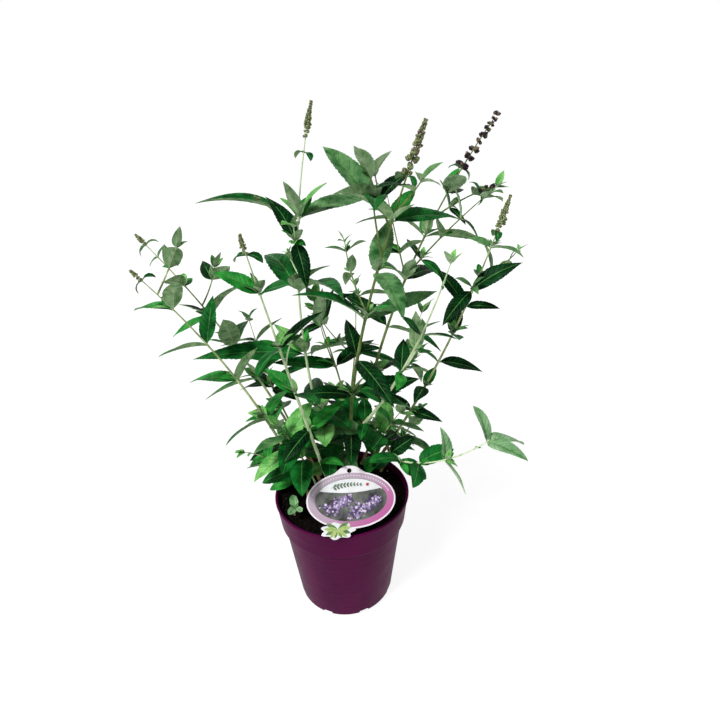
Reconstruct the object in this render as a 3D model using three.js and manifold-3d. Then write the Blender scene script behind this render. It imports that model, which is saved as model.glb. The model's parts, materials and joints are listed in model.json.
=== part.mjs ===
// A young butterfly bush in a plastic nursery pot, with an oval plant label pushed into its compost.
// Millimetres, +Z up. The origin is the centre of the pot's flat underside.
import * as THREE from 'three';
import { mergeVertices } from 'three/addons/utils/BufferGeometryUtils.js';
import Module from 'manifold-3d';

const wasm = await Module();
wasm.setup();

// ---------------------------------------------------------------- driving dimensions

const GAP = 0.3; // air between neighbouring pieces
const POT_CLEARANCE = 0.45; // air between the compost and the pot's faceted wall

const POT_HEIGHT = 156;
const POT_RIM_RADIUS = 85;
const POT_BASE_RADIUS = 62.5;
const POT_WALL = 1.8;
const POT_FLOOR = 2.4;
const POT_SIDES = 48;
const FOOT_CHAMFER = 3.5;
const COLLAR_HEIGHT = 37; // the wide band below the rim
const COLLAR_FOOT_RADIUS = 80.3;
const COLLAR_STEP = 3.6; // how far the collar stands out from the body
const LIP_HEIGHT = 3.6;
const LIP_PROUD = 1.1;
const DRAIN_COUNT = 8;
const DRAIN_WIDTH = 13;
const DRAIN_HEIGHT = 7;
const DRAIN_INNER_RADIUS = 53;

const SOIL_LEVEL = 148;

const LABEL_HALF_WIDTH = 50.7;
const LABEL_HALF_HEIGHT = 31.4;
const LABEL_THICKNESS = 1;
const LABEL_CENTRE = [12.8, -61.6, 189.8];
const LABEL_LEAN = 40; // degrees back from upright
const LABEL_ROLL = 2; // degrees
const LABEL_TAB_HALF_WIDTH = 21;
const LABEL_TAB_HEIGHT = 6.4;
const LABEL_TAB_WAIST = 0.62; // of the tab's half width, where its sides leave the oval
const LABEL_TAB_CROWN = 0.56; // of the tab's half width, where its top turns down
const LABEL_TAB_EASE = 2; // how far each side runs on above the oval
const LABEL_HOLE_RADIUS = 2.6;
const LABEL_HOLE_DROP = 5.6; // hole centre below the tab's top
const LABEL_LOBE_CENTRE = [-16.5, -32.4]; // of the wavy lobe, from the oval's centre
const LABEL_LOBE_HALF = [18, 8.6];
const LABEL_LOBE_WAVES = 7;
const LABEL_LOBE_WAVE_DEPTH = 0.13;
const LABEL_LOBE_STEPS = 56;
const STAKE_WIDTH = 9;
const STAKE_THICKNESS = 1.6;
const STAKE_BACK = 5; // stake axis behind the label's centre
const STAKE_DEPTH = 36; // below the compost

const SMOOTHING = 0.03; // slivers thinner than this are merged away
const PATH_STEPS = 24;
const BOUGH_SIDES = 6;
const TWIG_SIDES = 3;
const TWIG_STEP = 34; // between the rings of a leafy stem or twig
const TWIG_SWELL = 1.15; // makes up for the flat sides of a three-sided stem
const TWIG_RADIUS = 1.2;
const TIP_RADIUS = 0.75;
const PANICLE_SIDES = 4;
const WHORL_PITCH = 7; // between the bud whorls of a spike
const BOUGH_STEP = 30; // between the rings of a bough
const FLARE_HEIGHT = 7;
const FLARE_SWELL = 0.7;

const STOOL_FOOT = [14, 32];
const STOOL_HEIGHT = 24;
const STOOL_FLARE_RADIUS = 9;
const STOOL_NECK_RADIUS = 5.2;
const STOOL_ARM = 36; // along each of the two shoots that it carries
const STOOL_ARM_ROOT = 8; // where each arm starts along its shoot, inside the foot
const STOOL_SIDES = 9;

const SHORT_LEAF_WIDTH = 0.46; // of its length, for the shortest leaves
const LONG_LEAF_WIDTH = 0.31; // of its length, for the longest leaves
const LEAF_WIDTH_SPAN = [20, 90]; // lengths between which the width changes
const LEAF_THICKNESS = 0.017; // of its length
const LEAF_FOLD = 24; // degrees that each half rises from the midrib
const LONG_LEAF = 46; // a leaf over this length has two sections across its blade
const AXIL_CHANCE = 0.06; // that a small tuft sits beside a leaf
const TIP_LEAVES = [0.42, 26]; // length as a share of the longest leaves, and degrees off the stem
const CURLED_LENGTH = 17; // of the two leaves below a spike
const CURLED_DROOP = 100; // degrees
const CURLED_DROP = 1.5; // how far below the spike they stand
const TRIES = [0, 14, -14, 28, -28]; // degrees a leaf may turn about its twig to stay clear

// ---------------------------------------------------------------- the shoots

// Each shoot is an arc. It stands at foot in the compost, or on the stool, or leaves its parent's
// bough at that distance, with its first skip left out. heading is its compass direction from +X
// towards +Y, lean its angle from upright at the foot, and bend and turn what lean and heading gain
// over its length. bare is the length of the bough below the leaves. The first leaf pair sits at
// first, the next ones gap apart, each gap shrink times the last. pair is the angle of the first
// pair about the stem, and each next pair stands crosswise to it. leaf is the length of the longest
// leaves, seed starts the random numbers of the leaves, panicle is the length and radius of the bud
// spike at the tip, curled and tip replace CURLED_DROP and TIP_LEAVES, and side lists the side twigs,
// each at its distance along the shoot.

const SHOOTS = [
  {
    name: 'tall_centre', seed: 427, foot: [-6, 30], heading: 156, lean: 17, bend: -32, turn: 37,
    length: 457, radius: 2.3, bare: 96, first: 108, gap: 75, shrink: 1.04, pair: 45, leaf: 116,
    panicle: [34, 5], curled: 15,
    side: [
      { at: 334, seed: 165, heading: 183, lean: 56, bend: -6, turn: 0, length: 55, panicle: [9, 3] },
      { at: 337, seed: 406, heading: 17, lean: 25, bend: 0, turn: 0, length: 26 },
      { at: 304, seed: 648, heading: 275, lean: 64, bend: -20, turn: 0, length: 66, leaf: 59 },
      { at: 283, seed: 442, heading: 146, lean: 38, bend: -20, turn: 0, length: 26, leaf: 27 },
    ],
  },
  {
    name: 'main', seed: 659, stool: true, heading: 260, lean: 16, bend: 4, turn: 87, length: 449,
    radius: 2.9, bare: 84, first: 100, gap: 55, shrink: 0.98, pair: 110, leaf: 75, panicle: [44, 8],
    side: [
      { at: 332, seed: 998, heading: 226, lean: 19, bend: -14, turn: 14, length: 72, leaf: 80 },
      { at: 269, seed: 246, heading: 125, lean: 44, bend: -4, turn: -28, length: 85, leaf: 33 },
      { at: 371, seed: 227, heading: 314, lean: 51, bend: -10, turn: 0, length: 42, leaf: 50 },
      { at: 357, seed: 462, heading: 145, lean: 23, bend: -10, turn: 0, length: 49, leaf: 44 },
    ],
  },
  {
    name: 'right_tall', seed: 569, stool: true, heading: 44, lean: 11, bend: 25, turn: -40, length: 482,
    radius: 2.6, bare: 58, first: 80, gap: 68, shrink: 0.94, pair: 25, leaf: 90, panicle: [68, 6],
    side: [
      { at: 279, seed: 282, heading: 343, lean: 38, bend: 12, turn: 4, length: 141, leaf: 42 },
      { at: 275, seed: 54, heading: 153, lean: 16, bend: -3, turn: -6, length: 102, leaf: 51 },
      {
        at: 352, seed: 380, heading: 333, lean: 53, bend: 18, turn: -3, length: 78, leaf: 36,
        panicle: [18, 4],
      },
    ],
  },
  {
    name: 'left', seed: 538, foot: [-26, 16], heading: 154, lean: 25, bend: 18, turn: 15, length: 389,
    radius: 2.1, bare: 52, first: 72, gap: 48, shrink: 0.99, pair: 120, leaf: 77, panicle: [16, 4],
    side: [{ at: 278, seed: 447, heading: 44, lean: 40, bend: -12, turn: 28, length: 52, leaf: 55 }],
  },
  {
    name: 'left_low', seed: 470, foot: [-38, -14], heading: 162, lean: 19, bend: 20, turn: 31, length: 345,
    radius: 2.2, bare: 56, first: 65, gap: 61, shrink: 0.94, pair: 85, leaf: 75, panicle: [14, 4],
    side: [{ at: 310, seed: 584, heading: 68, lean: 49, bend: -10, turn: 0, length: 60, leaf: 53 }],
  },
  {
    name: 'front_left', seed: 357, foot: [-12, 0], heading: 244, lean: 20, bend: -2, turn: 0, length: 368,
    radius: 2.6, bare: 42, first: 73, gap: 56, shrink: 1.04, pair: 165, leaf: 51, panicle: [18, 4],
    side: [{ at: 225, seed: 980, heading: 202, lean: -6, bend: -20, turn: 0, length: 27, leaf: 34 }],
  },
  {
    name: 'right', seed: 597, foot: [38, 50], heading: 326, lean: 31, bend: -16, turn: 26, length: 394,
    radius: 2.3, bare: 56, first: 80, gap: 42, shrink: 0.96, pair: 6, leaf: 47, panicle: [36, 5.5],
    side: [
      { at: 282, seed: 869, heading: 261, lean: 55, bend: 0, turn: 0, length: 44, leaf: 51 },
      { at: 303, seed: 829, heading: 26, lean: 74, bend: -9, turn: 20, length: 73, leaf: 36 },
    ],
  },
  {
    name: 'front_right', seed: 697, parent: 'main', at: 84, skip: 9.8, heading: 312, lean: 42, bend: -23,
    turn: 0, length: 278, radius: 2.4, bare: 34, first: 41, gap: 50, shrink: 1.04, pair: 45, leaf: 38,
    side: [{ at: 151, seed: 924, heading: 54, lean: 75, bend: -30, turn: 0, length: 49, leaf: 41 }],
  },
  {
    name: 'low_right', seed: 203, parent: 'right', at: 56, skip: 2.7, heading: 262, lean: 77, bend: -24,
    turn: 100, length: 190, radius: 1.7, bare: 26, first: 33, gap: 33, shrink: 1.04, pair: 55, leaf: 42,
    tip: [1, 46], side: [],
  },
  {
    name: 'short_centre', seed: 41, foot: [0, 47], heading: 4, lean: 16, bend: -56, turn: -70, length: 247,
    radius: 2, bare: 78, first: 99, gap: 59, shrink: 0.98, pair: 15, leaf: 78,
    side: [{ at: 154, seed: 280, heading: 132, lean: 38, bend: -20, turn: 0, length: 60, leaf: 51 }],
  },
  {
    name: 'back', seed: 23, foot: [-12, 56], heading: 57, lean: 35, bend: -10, turn: 35, length: 262,
    radius: 2, bare: 40, first: 48, gap: 56, shrink: 1.04, pair: 165, leaf: 53,
    side: [{ at: 159, seed: 271, heading: 192, lean: 45, bend: -20, turn: 0, length: 93, leaf: 48 }],
  },
  {
    name: 'back_right', seed: 12, foot: [26, 62], heading: 52, lean: 43, bend: -10, turn: -6, length: 236,
    radius: 2, bare: 36, first: 48, gap: 48, shrink: 1.04, pair: 45, leaf: 61,
    side: [{ at: 134, seed: 967, heading: 395, lean: 68, bend: -20, turn: 0, length: 52, leaf: 51 }],
  },
  {
    name: 'back_left', seed: 410, foot: [-30, 40], heading: 140, lean: 46, bend: -14, turn: -20,
    length: 244, radius: 2, bare: 36, first: 64, gap: 41, shrink: 0.92, pair: 125, leaf: 63,
    side: [{ at: 118, seed: 362, heading: 236, lean: 28, bend: -20, turn: 0, length: 52, leaf: 43 }],
  },
  {
    name: 'foot_left', seed: 926, foot: [-52, 4], heading: 150, lean: 28, bend: 36, turn: 60, length: 100,
    radius: 1.6, bare: 12, first: 19, gap: 24, shrink: 0.99, pair: 125, leaf: 35, side: [],
  },
  {
    name: 'foot_front_left', seed: 924, foot: [-26, -10], heading: 233, lean: 14, bend: 14, turn: -20,
    length: 138, radius: 1.7, bare: 12, first: 64, gap: 15, shrink: 0.95, pair: 55, leaf: 53, side: [],
  },
  {
    name: 'foot_centre', seed: 206, foot: [-4, 16], heading: 235, lean: 14, bend: -6, turn: 6, length: 134,
    radius: 1.7, bare: 14, first: 41, gap: 14, shrink: 0.9, pair: 90, leaf: 53, side: [],
  },
  {
    name: 'foot_right', seed: 697, foot: [33, 36], heading: 300, lean: 16, bend: 19, turn: 30, length: 134,
    radius: 1.7, bare: 16, first: 42, gap: 22, shrink: 1.01, pair: 55, leaf: 48, side: [],
  },
  {
    name: 'foot_back_right', seed: 428, foot: [52, 44], heading: 30, lean: 40, bend: 20, turn: 20,
    length: 104, radius: 1.6, bare: 14, first: 28, gap: 25, shrink: 0.95, pair: 140, leaf: 43, side: [],
  },
  {
    name: 'foot_back', seed: 507, foot: [6, 66], heading: 100, lean: 38, bend: 24, turn: 0, length: 112,
    radius: 1.6, bare: 14, first: 32, gap: 20, shrink: 0.97, pair: 150, leaf: 49, side: [],
  },
  {
    name: 'sprig', seed: 396, foot: [-57, -37], heading: 290, lean: 12, bend: 20, turn: 0, length: 20,
    radius: 0.9, bare: 8, first: 13, gap: 9, shrink: 1, pair: 85, leaf: 15, tip: [0.85, 62], side: [],
  },
];

// ---------------------------------------------------------------- random numbers and vectors

function randomSource(seed) {
  let state = seed >>> 0;
  return () => {
    state = (state + 0x6d2b79f5) >>> 0;
    let t = Math.imul(state ^ (state >>> 15), state | 1);
    t = (t + Math.imul(t ^ (t >>> 7), t | 61)) ^ t;
    return ((t ^ (t >>> 14)) >>> 0) / 4294967296;
  };
}

const radians = (degrees) => (degrees * Math.PI) / 180;
const vector = (x, y, z) => new THREE.Vector3(x, y, z);
const UP = vector(0, 0, 1);

function blend(a, p, b, q) {
  return a.clone().multiplyScalar(p).addScaledVector(b, q);
}

function squareTo(wanted, axis) {
  return wanted.clone().addScaledVector(axis, -wanted.dot(axis)).normalize();
}

// ---------------------------------------------------------------- solids

// A closed skin over rings that all have the same number of points. A ring of one point is a tip.
function loft(rings) {
  const positions = [];
  const faces = [];
  const starts = rings.map((ring) => {
    const start = positions.length / 3;
    ring.forEach((p) => positions.push(p.x, p.y, p.z));
    return start;
  });
  for (let i = 0; i + 1 < rings.length; i += 1) {
    const sides = Math.max(rings[i].length, rings[i + 1].length);
    for (let j = 0; j < sides; j += 1) {
      const k = (j + 1) % sides;
      if (rings[i].length === 1) {
        faces.push(starts[i], starts[i + 1] + k, starts[i + 1] + j);
      } else if (rings[i + 1].length === 1) {
        faces.push(starts[i] + j, starts[i] + k, starts[i + 1]);
      } else {
        faces.push(starts[i] + j, starts[i] + k, starts[i + 1] + k);
        faces.push(starts[i] + j, starts[i + 1] + k, starts[i + 1] + j);
      }
    }
  }
  const capRing = (start, count, reverse) => {
    for (let j = 1; j + 1 < count; j += 1) {
      faces.push(start, start + (reverse ? j + 1 : j), start + (reverse ? j : j + 1));
    }
  };
  capRing(starts[0], rings[0].length, true);
  capRing(starts.at(-1), rings.at(-1).length, false);
  const geometry = new THREE.BufferGeometry();
  geometry.setAttribute('position', new THREE.Float32BufferAttribute(positions, 3));
  geometry.setIndex(faces);
  return toManifold(geometry);
}

function toManifold(geometry) {
  const bare = geometry.clone();
  bare.deleteAttribute('normal');
  bare.deleteAttribute('uv');
  const merged = mergeVertices(bare, 1e-4);
  const mesh = new wasm.Mesh({
    numProp: 3,
    vertProperties: new Float32Array(merged.attributes.position.array),
    triVerts: new Uint32Array(merged.index.array),
  });
  return new wasm.Manifold(mesh);
}

// The outer skin of the largest body. Specks, and hollows that leaves shut in, are dropped.
function toGeometry(solid) {
  const bodies = solid.decompose();
  bodies.sort((a, b) => b.volume() - a.volume());
  const mesh = bodies[0].simplify(SMOOTHING).getMesh();
  const geometry = new THREE.BufferGeometry();
  geometry.setAttribute('position', new THREE.Float32BufferAttribute(mesh.vertProperties, 3));
  geometry.setIndex(new THREE.Uint32BufferAttribute(mesh.triVerts, 1));
  geometry.computeVertexNormals();
  return geometry;
}

// ---------------------------------------------------------------- arcs of the shoots

function arc(shoot, start) {
  const side = vector(-Math.sin(radians(shoot.heading)), Math.cos(radians(shoot.heading)), 0);
  const direction = (f) => {
    const heading = radians(shoot.heading + shoot.turn * f);
    const lean = radians(shoot.lean + shoot.bend * f);
    const out = Math.sin(lean);
    return vector(out * Math.cos(heading), out * Math.sin(heading), Math.cos(lean));
  };
  const points = [start.clone()];
  for (let i = 0; i < PATH_STEPS; i += 1) {
    const step = direction((i + 0.5) / PATH_STEPS).multiplyScalar(shoot.length / PATH_STEPS);
    points.push(points[i].clone().add(step));
  }
  return {
    at(s) {
      const f = Math.min(Math.max(s / shoot.length, 0), 1) * PATH_STEPS;
      const i = Math.min(Math.floor(f), PATH_STEPS - 1);
      return points[i].clone().lerp(points[i + 1], f - i);
    },
    frame(s) {
      const along = direction(s / shoot.length);
      const across = squareTo(side, along);
      return { along, across, over: along.clone().cross(across) };
    },
  };
}

function stemRadius(shoot, s) {
  return TIP_RADIUS + (shoot.radius - TIP_RADIUS) * Math.max(0, 1 - s / shoot.length) ** 0.7;
}

function ringAt(path, s, radius, sides, twist = 0) {
  const { across, over } = path.frame(s);
  const centre = path.at(s);
  return Array.from({ length: sides }, (_, j) => {
    const angle = twist + (2 * Math.PI * j) / sides;
    return centre.clone()
      .addScaledVector(across, radius * Math.cos(angle))
      .addScaledVector(over, radius * Math.sin(angle));
  });
}

// A tapering limb between two distances along its shoot.
function limb(shoot, path, from, to, sides, step, swell = 1) {
  const count = Math.max(1, Math.round((to - from) / step));
  const rings = [];
  for (let i = 0; i <= count; i += 1) {
    const s = from + ((to - from) * i) / count;
    rings.push(ringAt(path, s, stemRadius(shoot, s) * swell, sides));
  }
  return loft(rings);
}

// The lowest limb of a shoot that stands in the compost: swollen and cut flat at the ground.
function rootedLimb(shoot, path, to) {
  const floor = SOIL_LEVEL + GAP;
  const { along } = path.frame(0);
  const foot = ringAt(path, 0, stemRadius(shoot, 0) * (1 + FLARE_SWELL), BOUGH_SIDES);
  foot.forEach((p) => p.addScaledVector(along, (floor - p.z) / along.z));
  const rings = [foot, ringAt(path, FLARE_HEIGHT, stemRadius(shoot, FLARE_HEIGHT), BOUGH_SIDES)];
  const count = Math.max(1, Math.round((to - FLARE_HEIGHT) / BOUGH_STEP));
  for (let i = 1; i <= count; i += 1) {
    const s = FLARE_HEIGHT + ((to - FLARE_HEIGHT) * i) / count;
    rings.push(ringAt(path, s, stemRadius(shoot, s), BOUGH_SIDES));
  }
  return loft(rings);
}

// A spike of bud clusters round the top of a stem, thinning upwards.
function panicle(path, tip, length, radius) {
  const whorls = Math.max(2, Math.round(length / WHORL_PITCH));
  const rings = [];
  for (let i = 0; i < whorls; i += 1) {
    const low = tip - length + (length * i) / whorls;
    const size = radius * (1 - 0.72 * (i / whorls));
    rings.push(ringAt(path, low, 0.8, PANICLE_SIDES, 0.8 * i));
    rings.push(ringAt(path, low + (0.5 * length) / whorls, size, PANICLE_SIDES, 0.8 * i));
  }
  rings.push([path.at(tip)]);
  return loft(rings);
}

// Half the width of a leaf: long leaves are slimmer than short ones.
function leafHalfWidth(length) {
  const [short, long] = LEAF_WIDTH_SPAN;
  const f = Math.min(1, Math.max(0, (length - short) / (long - short)));
  return 0.5 * length * (SHORT_LEAF_WIDTH + (LONG_LEAF_WIDTH - SHORT_LEAF_WIDTH) * f);
}

// A leaf: a narrow blade of a folded section that arches over towards its underside.
function leafSolid(leaf) {
  const across = leaf.along.clone().cross(leaf.face);
  const thickness = leaf.length * LEAF_THICKNESS;
  const half = leafHalfWidth(leaf.length);
  const fold = radians(LEAF_FOLD);
  const place = (t) => {
    const bend = radians(leaf.droop) * t;
    const along = blend(leaf.along, Math.cos(bend), leaf.face, -Math.sin(bend));
    const face = blend(leaf.face, Math.cos(bend), leaf.along, Math.sin(bend));
    const middle = radians(leaf.droop) * t * 0.5;
    const chord = leaf.length * t * (t > 0 ? Math.sin(middle) / Math.max(middle, 1e-6) : 1);
    const centre = leaf.root.clone()
      .addScaledVector(leaf.along, chord * Math.cos(middle))
      .addScaledVector(leaf.face, -chord * Math.sin(middle));
    return { along, face, centre };
  };
  const ring = (t, width, lift, depth) => {
    const { face, centre } = place(t);
    const edge = (sign) => centre.clone()
      .addScaledVector(across, sign * width)
      .addScaledVector(face, lift);
    return [edge(1), centre.clone().addScaledVector(face, -depth), edge(-1), centre.clone()];
  };
  const blade = leaf.length > LONG_LEAF ? [[0.3, 0.94], [0.64, 0.84]] : [[0.46, 1]];
  const sections = blade.map(([t, w]) => (
    ring(t, half * w * Math.cos(fold), half * w * Math.sin(fold), thickness)
  ));
  return loft([[place(0).centre], ...sections, [place(1).centre]]);
}

// ---------------------------------------------------------------- growth

// Leaves lengthen up to the middle of a shoot and are short next to its tip.
function leafScale(f) {
  return Math.min(0.75 + 0.5 * f, 1.12 - 0.28 * f, Math.max(0.24, 1 + 14 * (0.85 - f)));
}

// One leaf's placing. It draws five random numbers, whatever becomes of it.
function leafAt(path, s, angle, length, spread, random) {
  const size = length * (0.8 + 0.42 * random());
  const round = radians(angle + 36 * (random() - 0.5));
  const open = radians(spread + 24 * (random() - 0.5));
  const droop = 10 + 40 * random();
  const roll = radians(48 * (random() - 0.5));
  const place = (swing) => {
    const { along: stem, across, over } = path.frame(s);
    const out = blend(across, Math.cos(round + swing), over, Math.sin(round + swing));
    const along = blend(stem, Math.cos(open), out, Math.sin(open)).normalize();
    const flat = squareTo(blend(stem, 0.5, UP, 0.8), along);
    const face = blend(flat, Math.cos(roll), along.clone().cross(flat), Math.sin(roll));
    return { root: path.at(s), along, face, length: size, droop };
  };
  return TRIES.map((swing) => place(radians(swing)));
}

// The two small leaves that curl down right below a spike.
function curledLeaves(shoot, path, s) {
  const { along: stem, across, over } = path.frame(s);
  const place = (angle) => {
    const out = blend(across, Math.cos(angle), over, Math.sin(angle));
    const along = blend(stem, 0.45, out, 1).normalize();
    const face = squareTo(stem, along);
    return { root: path.at(s), along, face, length: CURLED_LENGTH, droop: CURLED_DROOP };
  };
  return [20, 200].map((turn) => (
    TRIES.map((swing) => place(radians(shoot.pair + turn + swing)))
  ));
}

// The leaf pairs of one stem, small tufts in their axils, and the leaves at its tip.
function leavesOf(shoot, path, from) {
  const random = randomSource(shoot.seed);
  const leaves = [];
  const top = shoot.length - (shoot.panicle ? shoot.panicle[0] : 2);
  let s = shoot.first;
  let gap = shoot.gap;
  for (let k = 0; s < top - 3; k += 1) {
    const f = s / shoot.length;
    const size = shoot.leaf * leafScale(f);
    const spread = 72 - 16 * f;
    for (const half of [0, 180]) {
      const angle = shoot.pair + 90 * k + half;
      const leaf = leafAt(path, s, angle, size, spread, random);
      const tuft = random() < AXIL_CHANCE;
      const young = [38, -38].map((turn) => (
        leafAt(path, s + 1.5, angle + turn, size * (0.3 + 0.2 * random()), 34, random)
      ));
      if (s >= from) {
        leaves.push(leaf);
        if (tuft && size > 24) leaves.push(...young);
      }
    }
    s += gap;
    gap *= shoot.shrink;
  }
  if (shoot.panicle) {
    leaves.push(...curledLeaves(shoot, path, top - (shoot.curled ?? CURLED_DROP)));
  } else {
    const [share, spread] = shoot.tip ?? TIP_LEAVES;
    [0, 120, 240].forEach((turn) => {
      leaves.push(leafAt(path, top - 1, shoot.pair + turn, shoot.leaf * share, spread, random));
    });
  }
  return leaves;
}

// A side twig fills what its row leaves out from the shoot that carries it.
function sideTwig(shoot, row) {
  const leaf = row.leaf ?? 0;
  const gap = Math.max(18, leaf * 0.8);
  return {
    radius: TWIG_RADIUS, first: gap * 0.75, gap, shrink: 0.94, pair: shoot.pair + 45, bare: 0, ...row, leaf,
  };
}

function growShoot(shoot, start) {
  const path = arc(shoot, start);
  const stemEnd = shoot.length - (shoot.panicle ? shoot.panicle[0] * 0.5 : 0);
  const stems = [limb(shoot, path, shoot.bare + GAP, stemEnd, TWIG_SIDES, TWIG_STEP, TWIG_SWELL)];
  if (shoot.panicle) stems.push(panicle(path, shoot.length, ...shoot.panicle));
  const leaves = leavesOf(shoot, path, shoot.bare + 6);
  shoot.side.forEach((row) => {
    const twig = sideTwig(shoot, row);
    const twigPath = arc(twig, path.at(row.at));
    const end = twig.length - (twig.panicle ? twig.panicle[0] * 0.5 : 0);
    stems.push(limb(twig, twigPath, 0, end, TWIG_SIDES, TWIG_STEP, TWIG_SWELL));
    if (twig.panicle) stems.push(panicle(twigPath, twig.length, ...twig.panicle));
    if (twig.leaf > 0) leaves.push(...leavesOf(twig, twigPath, 0));
  });
  return { path, stems, leaves };
}

// ---------------------------------------------------------------- pot, compost and label

const collarRadius = (z) => {
  const low = POT_HEIGHT - COLLAR_HEIGHT;
  const slope = (POT_RIM_RADIUS - LIP_PROUD - COLLAR_FOOT_RADIUS) / (COLLAR_HEIGHT - LIP_HEIGHT);
  return COLLAR_FOOT_RADIUS + (z - low) * slope;
};
const bodyRadius = (z) => {
  const low = POT_HEIGHT - COLLAR_HEIGHT;
  const top = COLLAR_FOOT_RADIUS - COLLAR_STEP;
  return POT_BASE_RADIUS + ((z - FOOT_CHAMFER) * (top - POT_BASE_RADIUS)) / (low - FOOT_CHAMFER);
};

function lathe(profile) {
  const points = profile.map(([r, z]) => new THREE.Vector2(r, z));
  const geometry = new THREE.LatheGeometry(points, POT_SIDES);
  geometry.rotateX(Math.PI / 2);
  return toManifold(geometry);
}

const innerProfile = (clearance) => {
  const low = POT_HEIGHT - COLLAR_HEIGHT;
  const wall = POT_WALL + clearance;
  return [
    [0, POT_FLOOR + clearance],
    [bodyRadius(POT_FLOOR) - wall, POT_FLOOR + clearance],
    [bodyRadius(low) - wall, low],
    [collarRadius(low) - wall, low + COLLAR_STEP],
    [collarRadius(POT_HEIGHT - LIP_HEIGHT) - wall, POT_HEIGHT - LIP_HEIGHT],
  ];
};

function pot() {
  const low = POT_HEIGHT - COLLAR_HEIGHT;
  const lipFoot = POT_HEIGHT - LIP_HEIGHT;
  const outer = [
    [0, 0],
    [POT_BASE_RADIUS - FOOT_CHAMFER, 0],
    [POT_BASE_RADIUS, FOOT_CHAMFER],
    [bodyRadius(low - 1), low - 1],
    [COLLAR_FOOT_RADIUS - 0.8, low],
    [COLLAR_FOOT_RADIUS, low + 1.2],
    [collarRadius(lipFoot), lipFoot],
    [POT_RIM_RADIUS, lipFoot + 1],
    [POT_RIM_RADIUS, POT_HEIGHT - 0.9],
    [POT_RIM_RADIUS - 0.9, POT_HEIGHT],
    [POT_RIM_RADIUS - POT_WALL - LIP_PROUD, POT_HEIGHT],
  ];
  const shell = lathe([...outer, ...innerProfile(0).reverse()]);
  const cuts = Array.from({ length: DRAIN_COUNT }, (_, i) => {
    const slot = new THREE.BoxGeometry(POT_BASE_RADIUS, DRAIN_WIDTH, 2 * DRAIN_HEIGHT);
    slot.translate(DRAIN_INNER_RADIUS + POT_BASE_RADIUS / 2, 0, 0);
    slot.rotateZ((2 * Math.PI * (i + 0.5)) / DRAIN_COUNT);
    return toManifold(slot);
  });
  return shell.subtract(wasm.Manifold.union(cuts));
}

// The stake stands upright behind the label. Its top is cut to the label's slope.
function stakeBlade(margin) {
  const [x, y, z] = LABEL_CENTRE;
  const half = STAKE_THICKNESS / 2 + margin;
  const middle = y + STAKE_BACK;
  const foot = SOIL_LEVEL - STAKE_DEPTH - margin;
  const topAt = (at) => z + (at - y) / Math.tan(radians(LABEL_LEAN));
  const side = new THREE.Shape();
  side.moveTo(middle - half, foot);
  side.lineTo(middle + half, foot);
  side.lineTo(middle + half, topAt(middle + half));
  side.lineTo(middle - half, topAt(middle - half));
  side.closePath();
  const width = STAKE_WIDTH + 2 * margin;
  const blade = new THREE.ExtrudeGeometry(side, { depth: width, bevelEnabled: false });
  blade.applyMatrix4(new THREE.Matrix4().makeBasis(vector(0, 1, 0), UP, vector(1, 0, 0)));
  blade.translate(x - width / 2, 0, 0);
  return toManifold(blade);
}

function labelOutline() {
  const outline = new THREE.Shape();
  const meet = Math.acos(LABEL_TAB_HALF_WIDTH / LABEL_HALF_WIDTH);
  const shoulder = LABEL_HALF_HEIGHT * Math.sin(meet);
  const top = LABEL_HALF_HEIGHT + LABEL_TAB_HEIGHT;
  outline.absellipse(0, 0, LABEL_HALF_WIDTH, LABEL_HALF_HEIGHT, Math.PI - meet, meet, false, 0);
  outline.bezierCurveTo(
    LABEL_TAB_HALF_WIDTH * LABEL_TAB_WAIST, shoulder + LABEL_TAB_EASE,
    LABEL_TAB_HALF_WIDTH * LABEL_TAB_CROWN, top,
    0, top,
  );
  outline.bezierCurveTo(
    -LABEL_TAB_HALF_WIDTH * LABEL_TAB_CROWN, top,
    -LABEL_TAB_HALF_WIDTH * LABEL_TAB_WAIST, shoulder + LABEL_TAB_EASE,
    -LABEL_TAB_HALF_WIDTH, shoulder,
  );
  const hole = new THREE.Path();
  hole.absarc(0, top - LABEL_HOLE_DROP, LABEL_HOLE_RADIUS, 0, 2 * Math.PI, true);
  outline.holes.push(hole);
  return outline;
}

// The wavy lobe that juts out below the oval.
function labelLobe() {
  const [x, y] = LABEL_LOBE_CENTRE;
  const [halfWidth, halfHeight] = LABEL_LOBE_HALF;
  return new THREE.Shape(Array.from({ length: LABEL_LOBE_STEPS }, (_, i) => {
    const angle = (2 * Math.PI * i) / LABEL_LOBE_STEPS;
    const reach = 1 + LABEL_LOBE_WAVE_DEPTH * Math.cos(LABEL_LOBE_WAVES * angle);
    return new THREE.Vector2(
      x + halfWidth * reach * Math.cos(angle),
      y + halfHeight * reach * Math.sin(angle),
    );
  }));
}

function label() {
  const sheet = (shape) => toManifold(new THREE.ExtrudeGeometry(shape, {
    depth: LABEL_THICKNESS, bevelEnabled: false, curveSegments: 12,
  }));
  const plate = sheet(labelOutline()).add(sheet(labelLobe()))
    .translate([0, 0, -LABEL_THICKNESS / 2])
    .rotate([0, 0, LABEL_ROLL])
    .rotate([90 - LABEL_LEAN, 0, 0])
    .translate(LABEL_CENTRE);
  return plate.add(stakeBlade(0));
}

function compost() {
  const inside = innerProfile(POT_CLEARANCE).filter(([, z]) => z < SOIL_LEVEL);
  const rim = collarRadius(SOIL_LEVEL) - POT_WALL - POT_CLEARANCE;
  return lathe([...inside, [rim, SOIL_LEVEL], [0, SOIL_LEVEL]]).subtract(stakeBlade(GAP));
}

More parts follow.
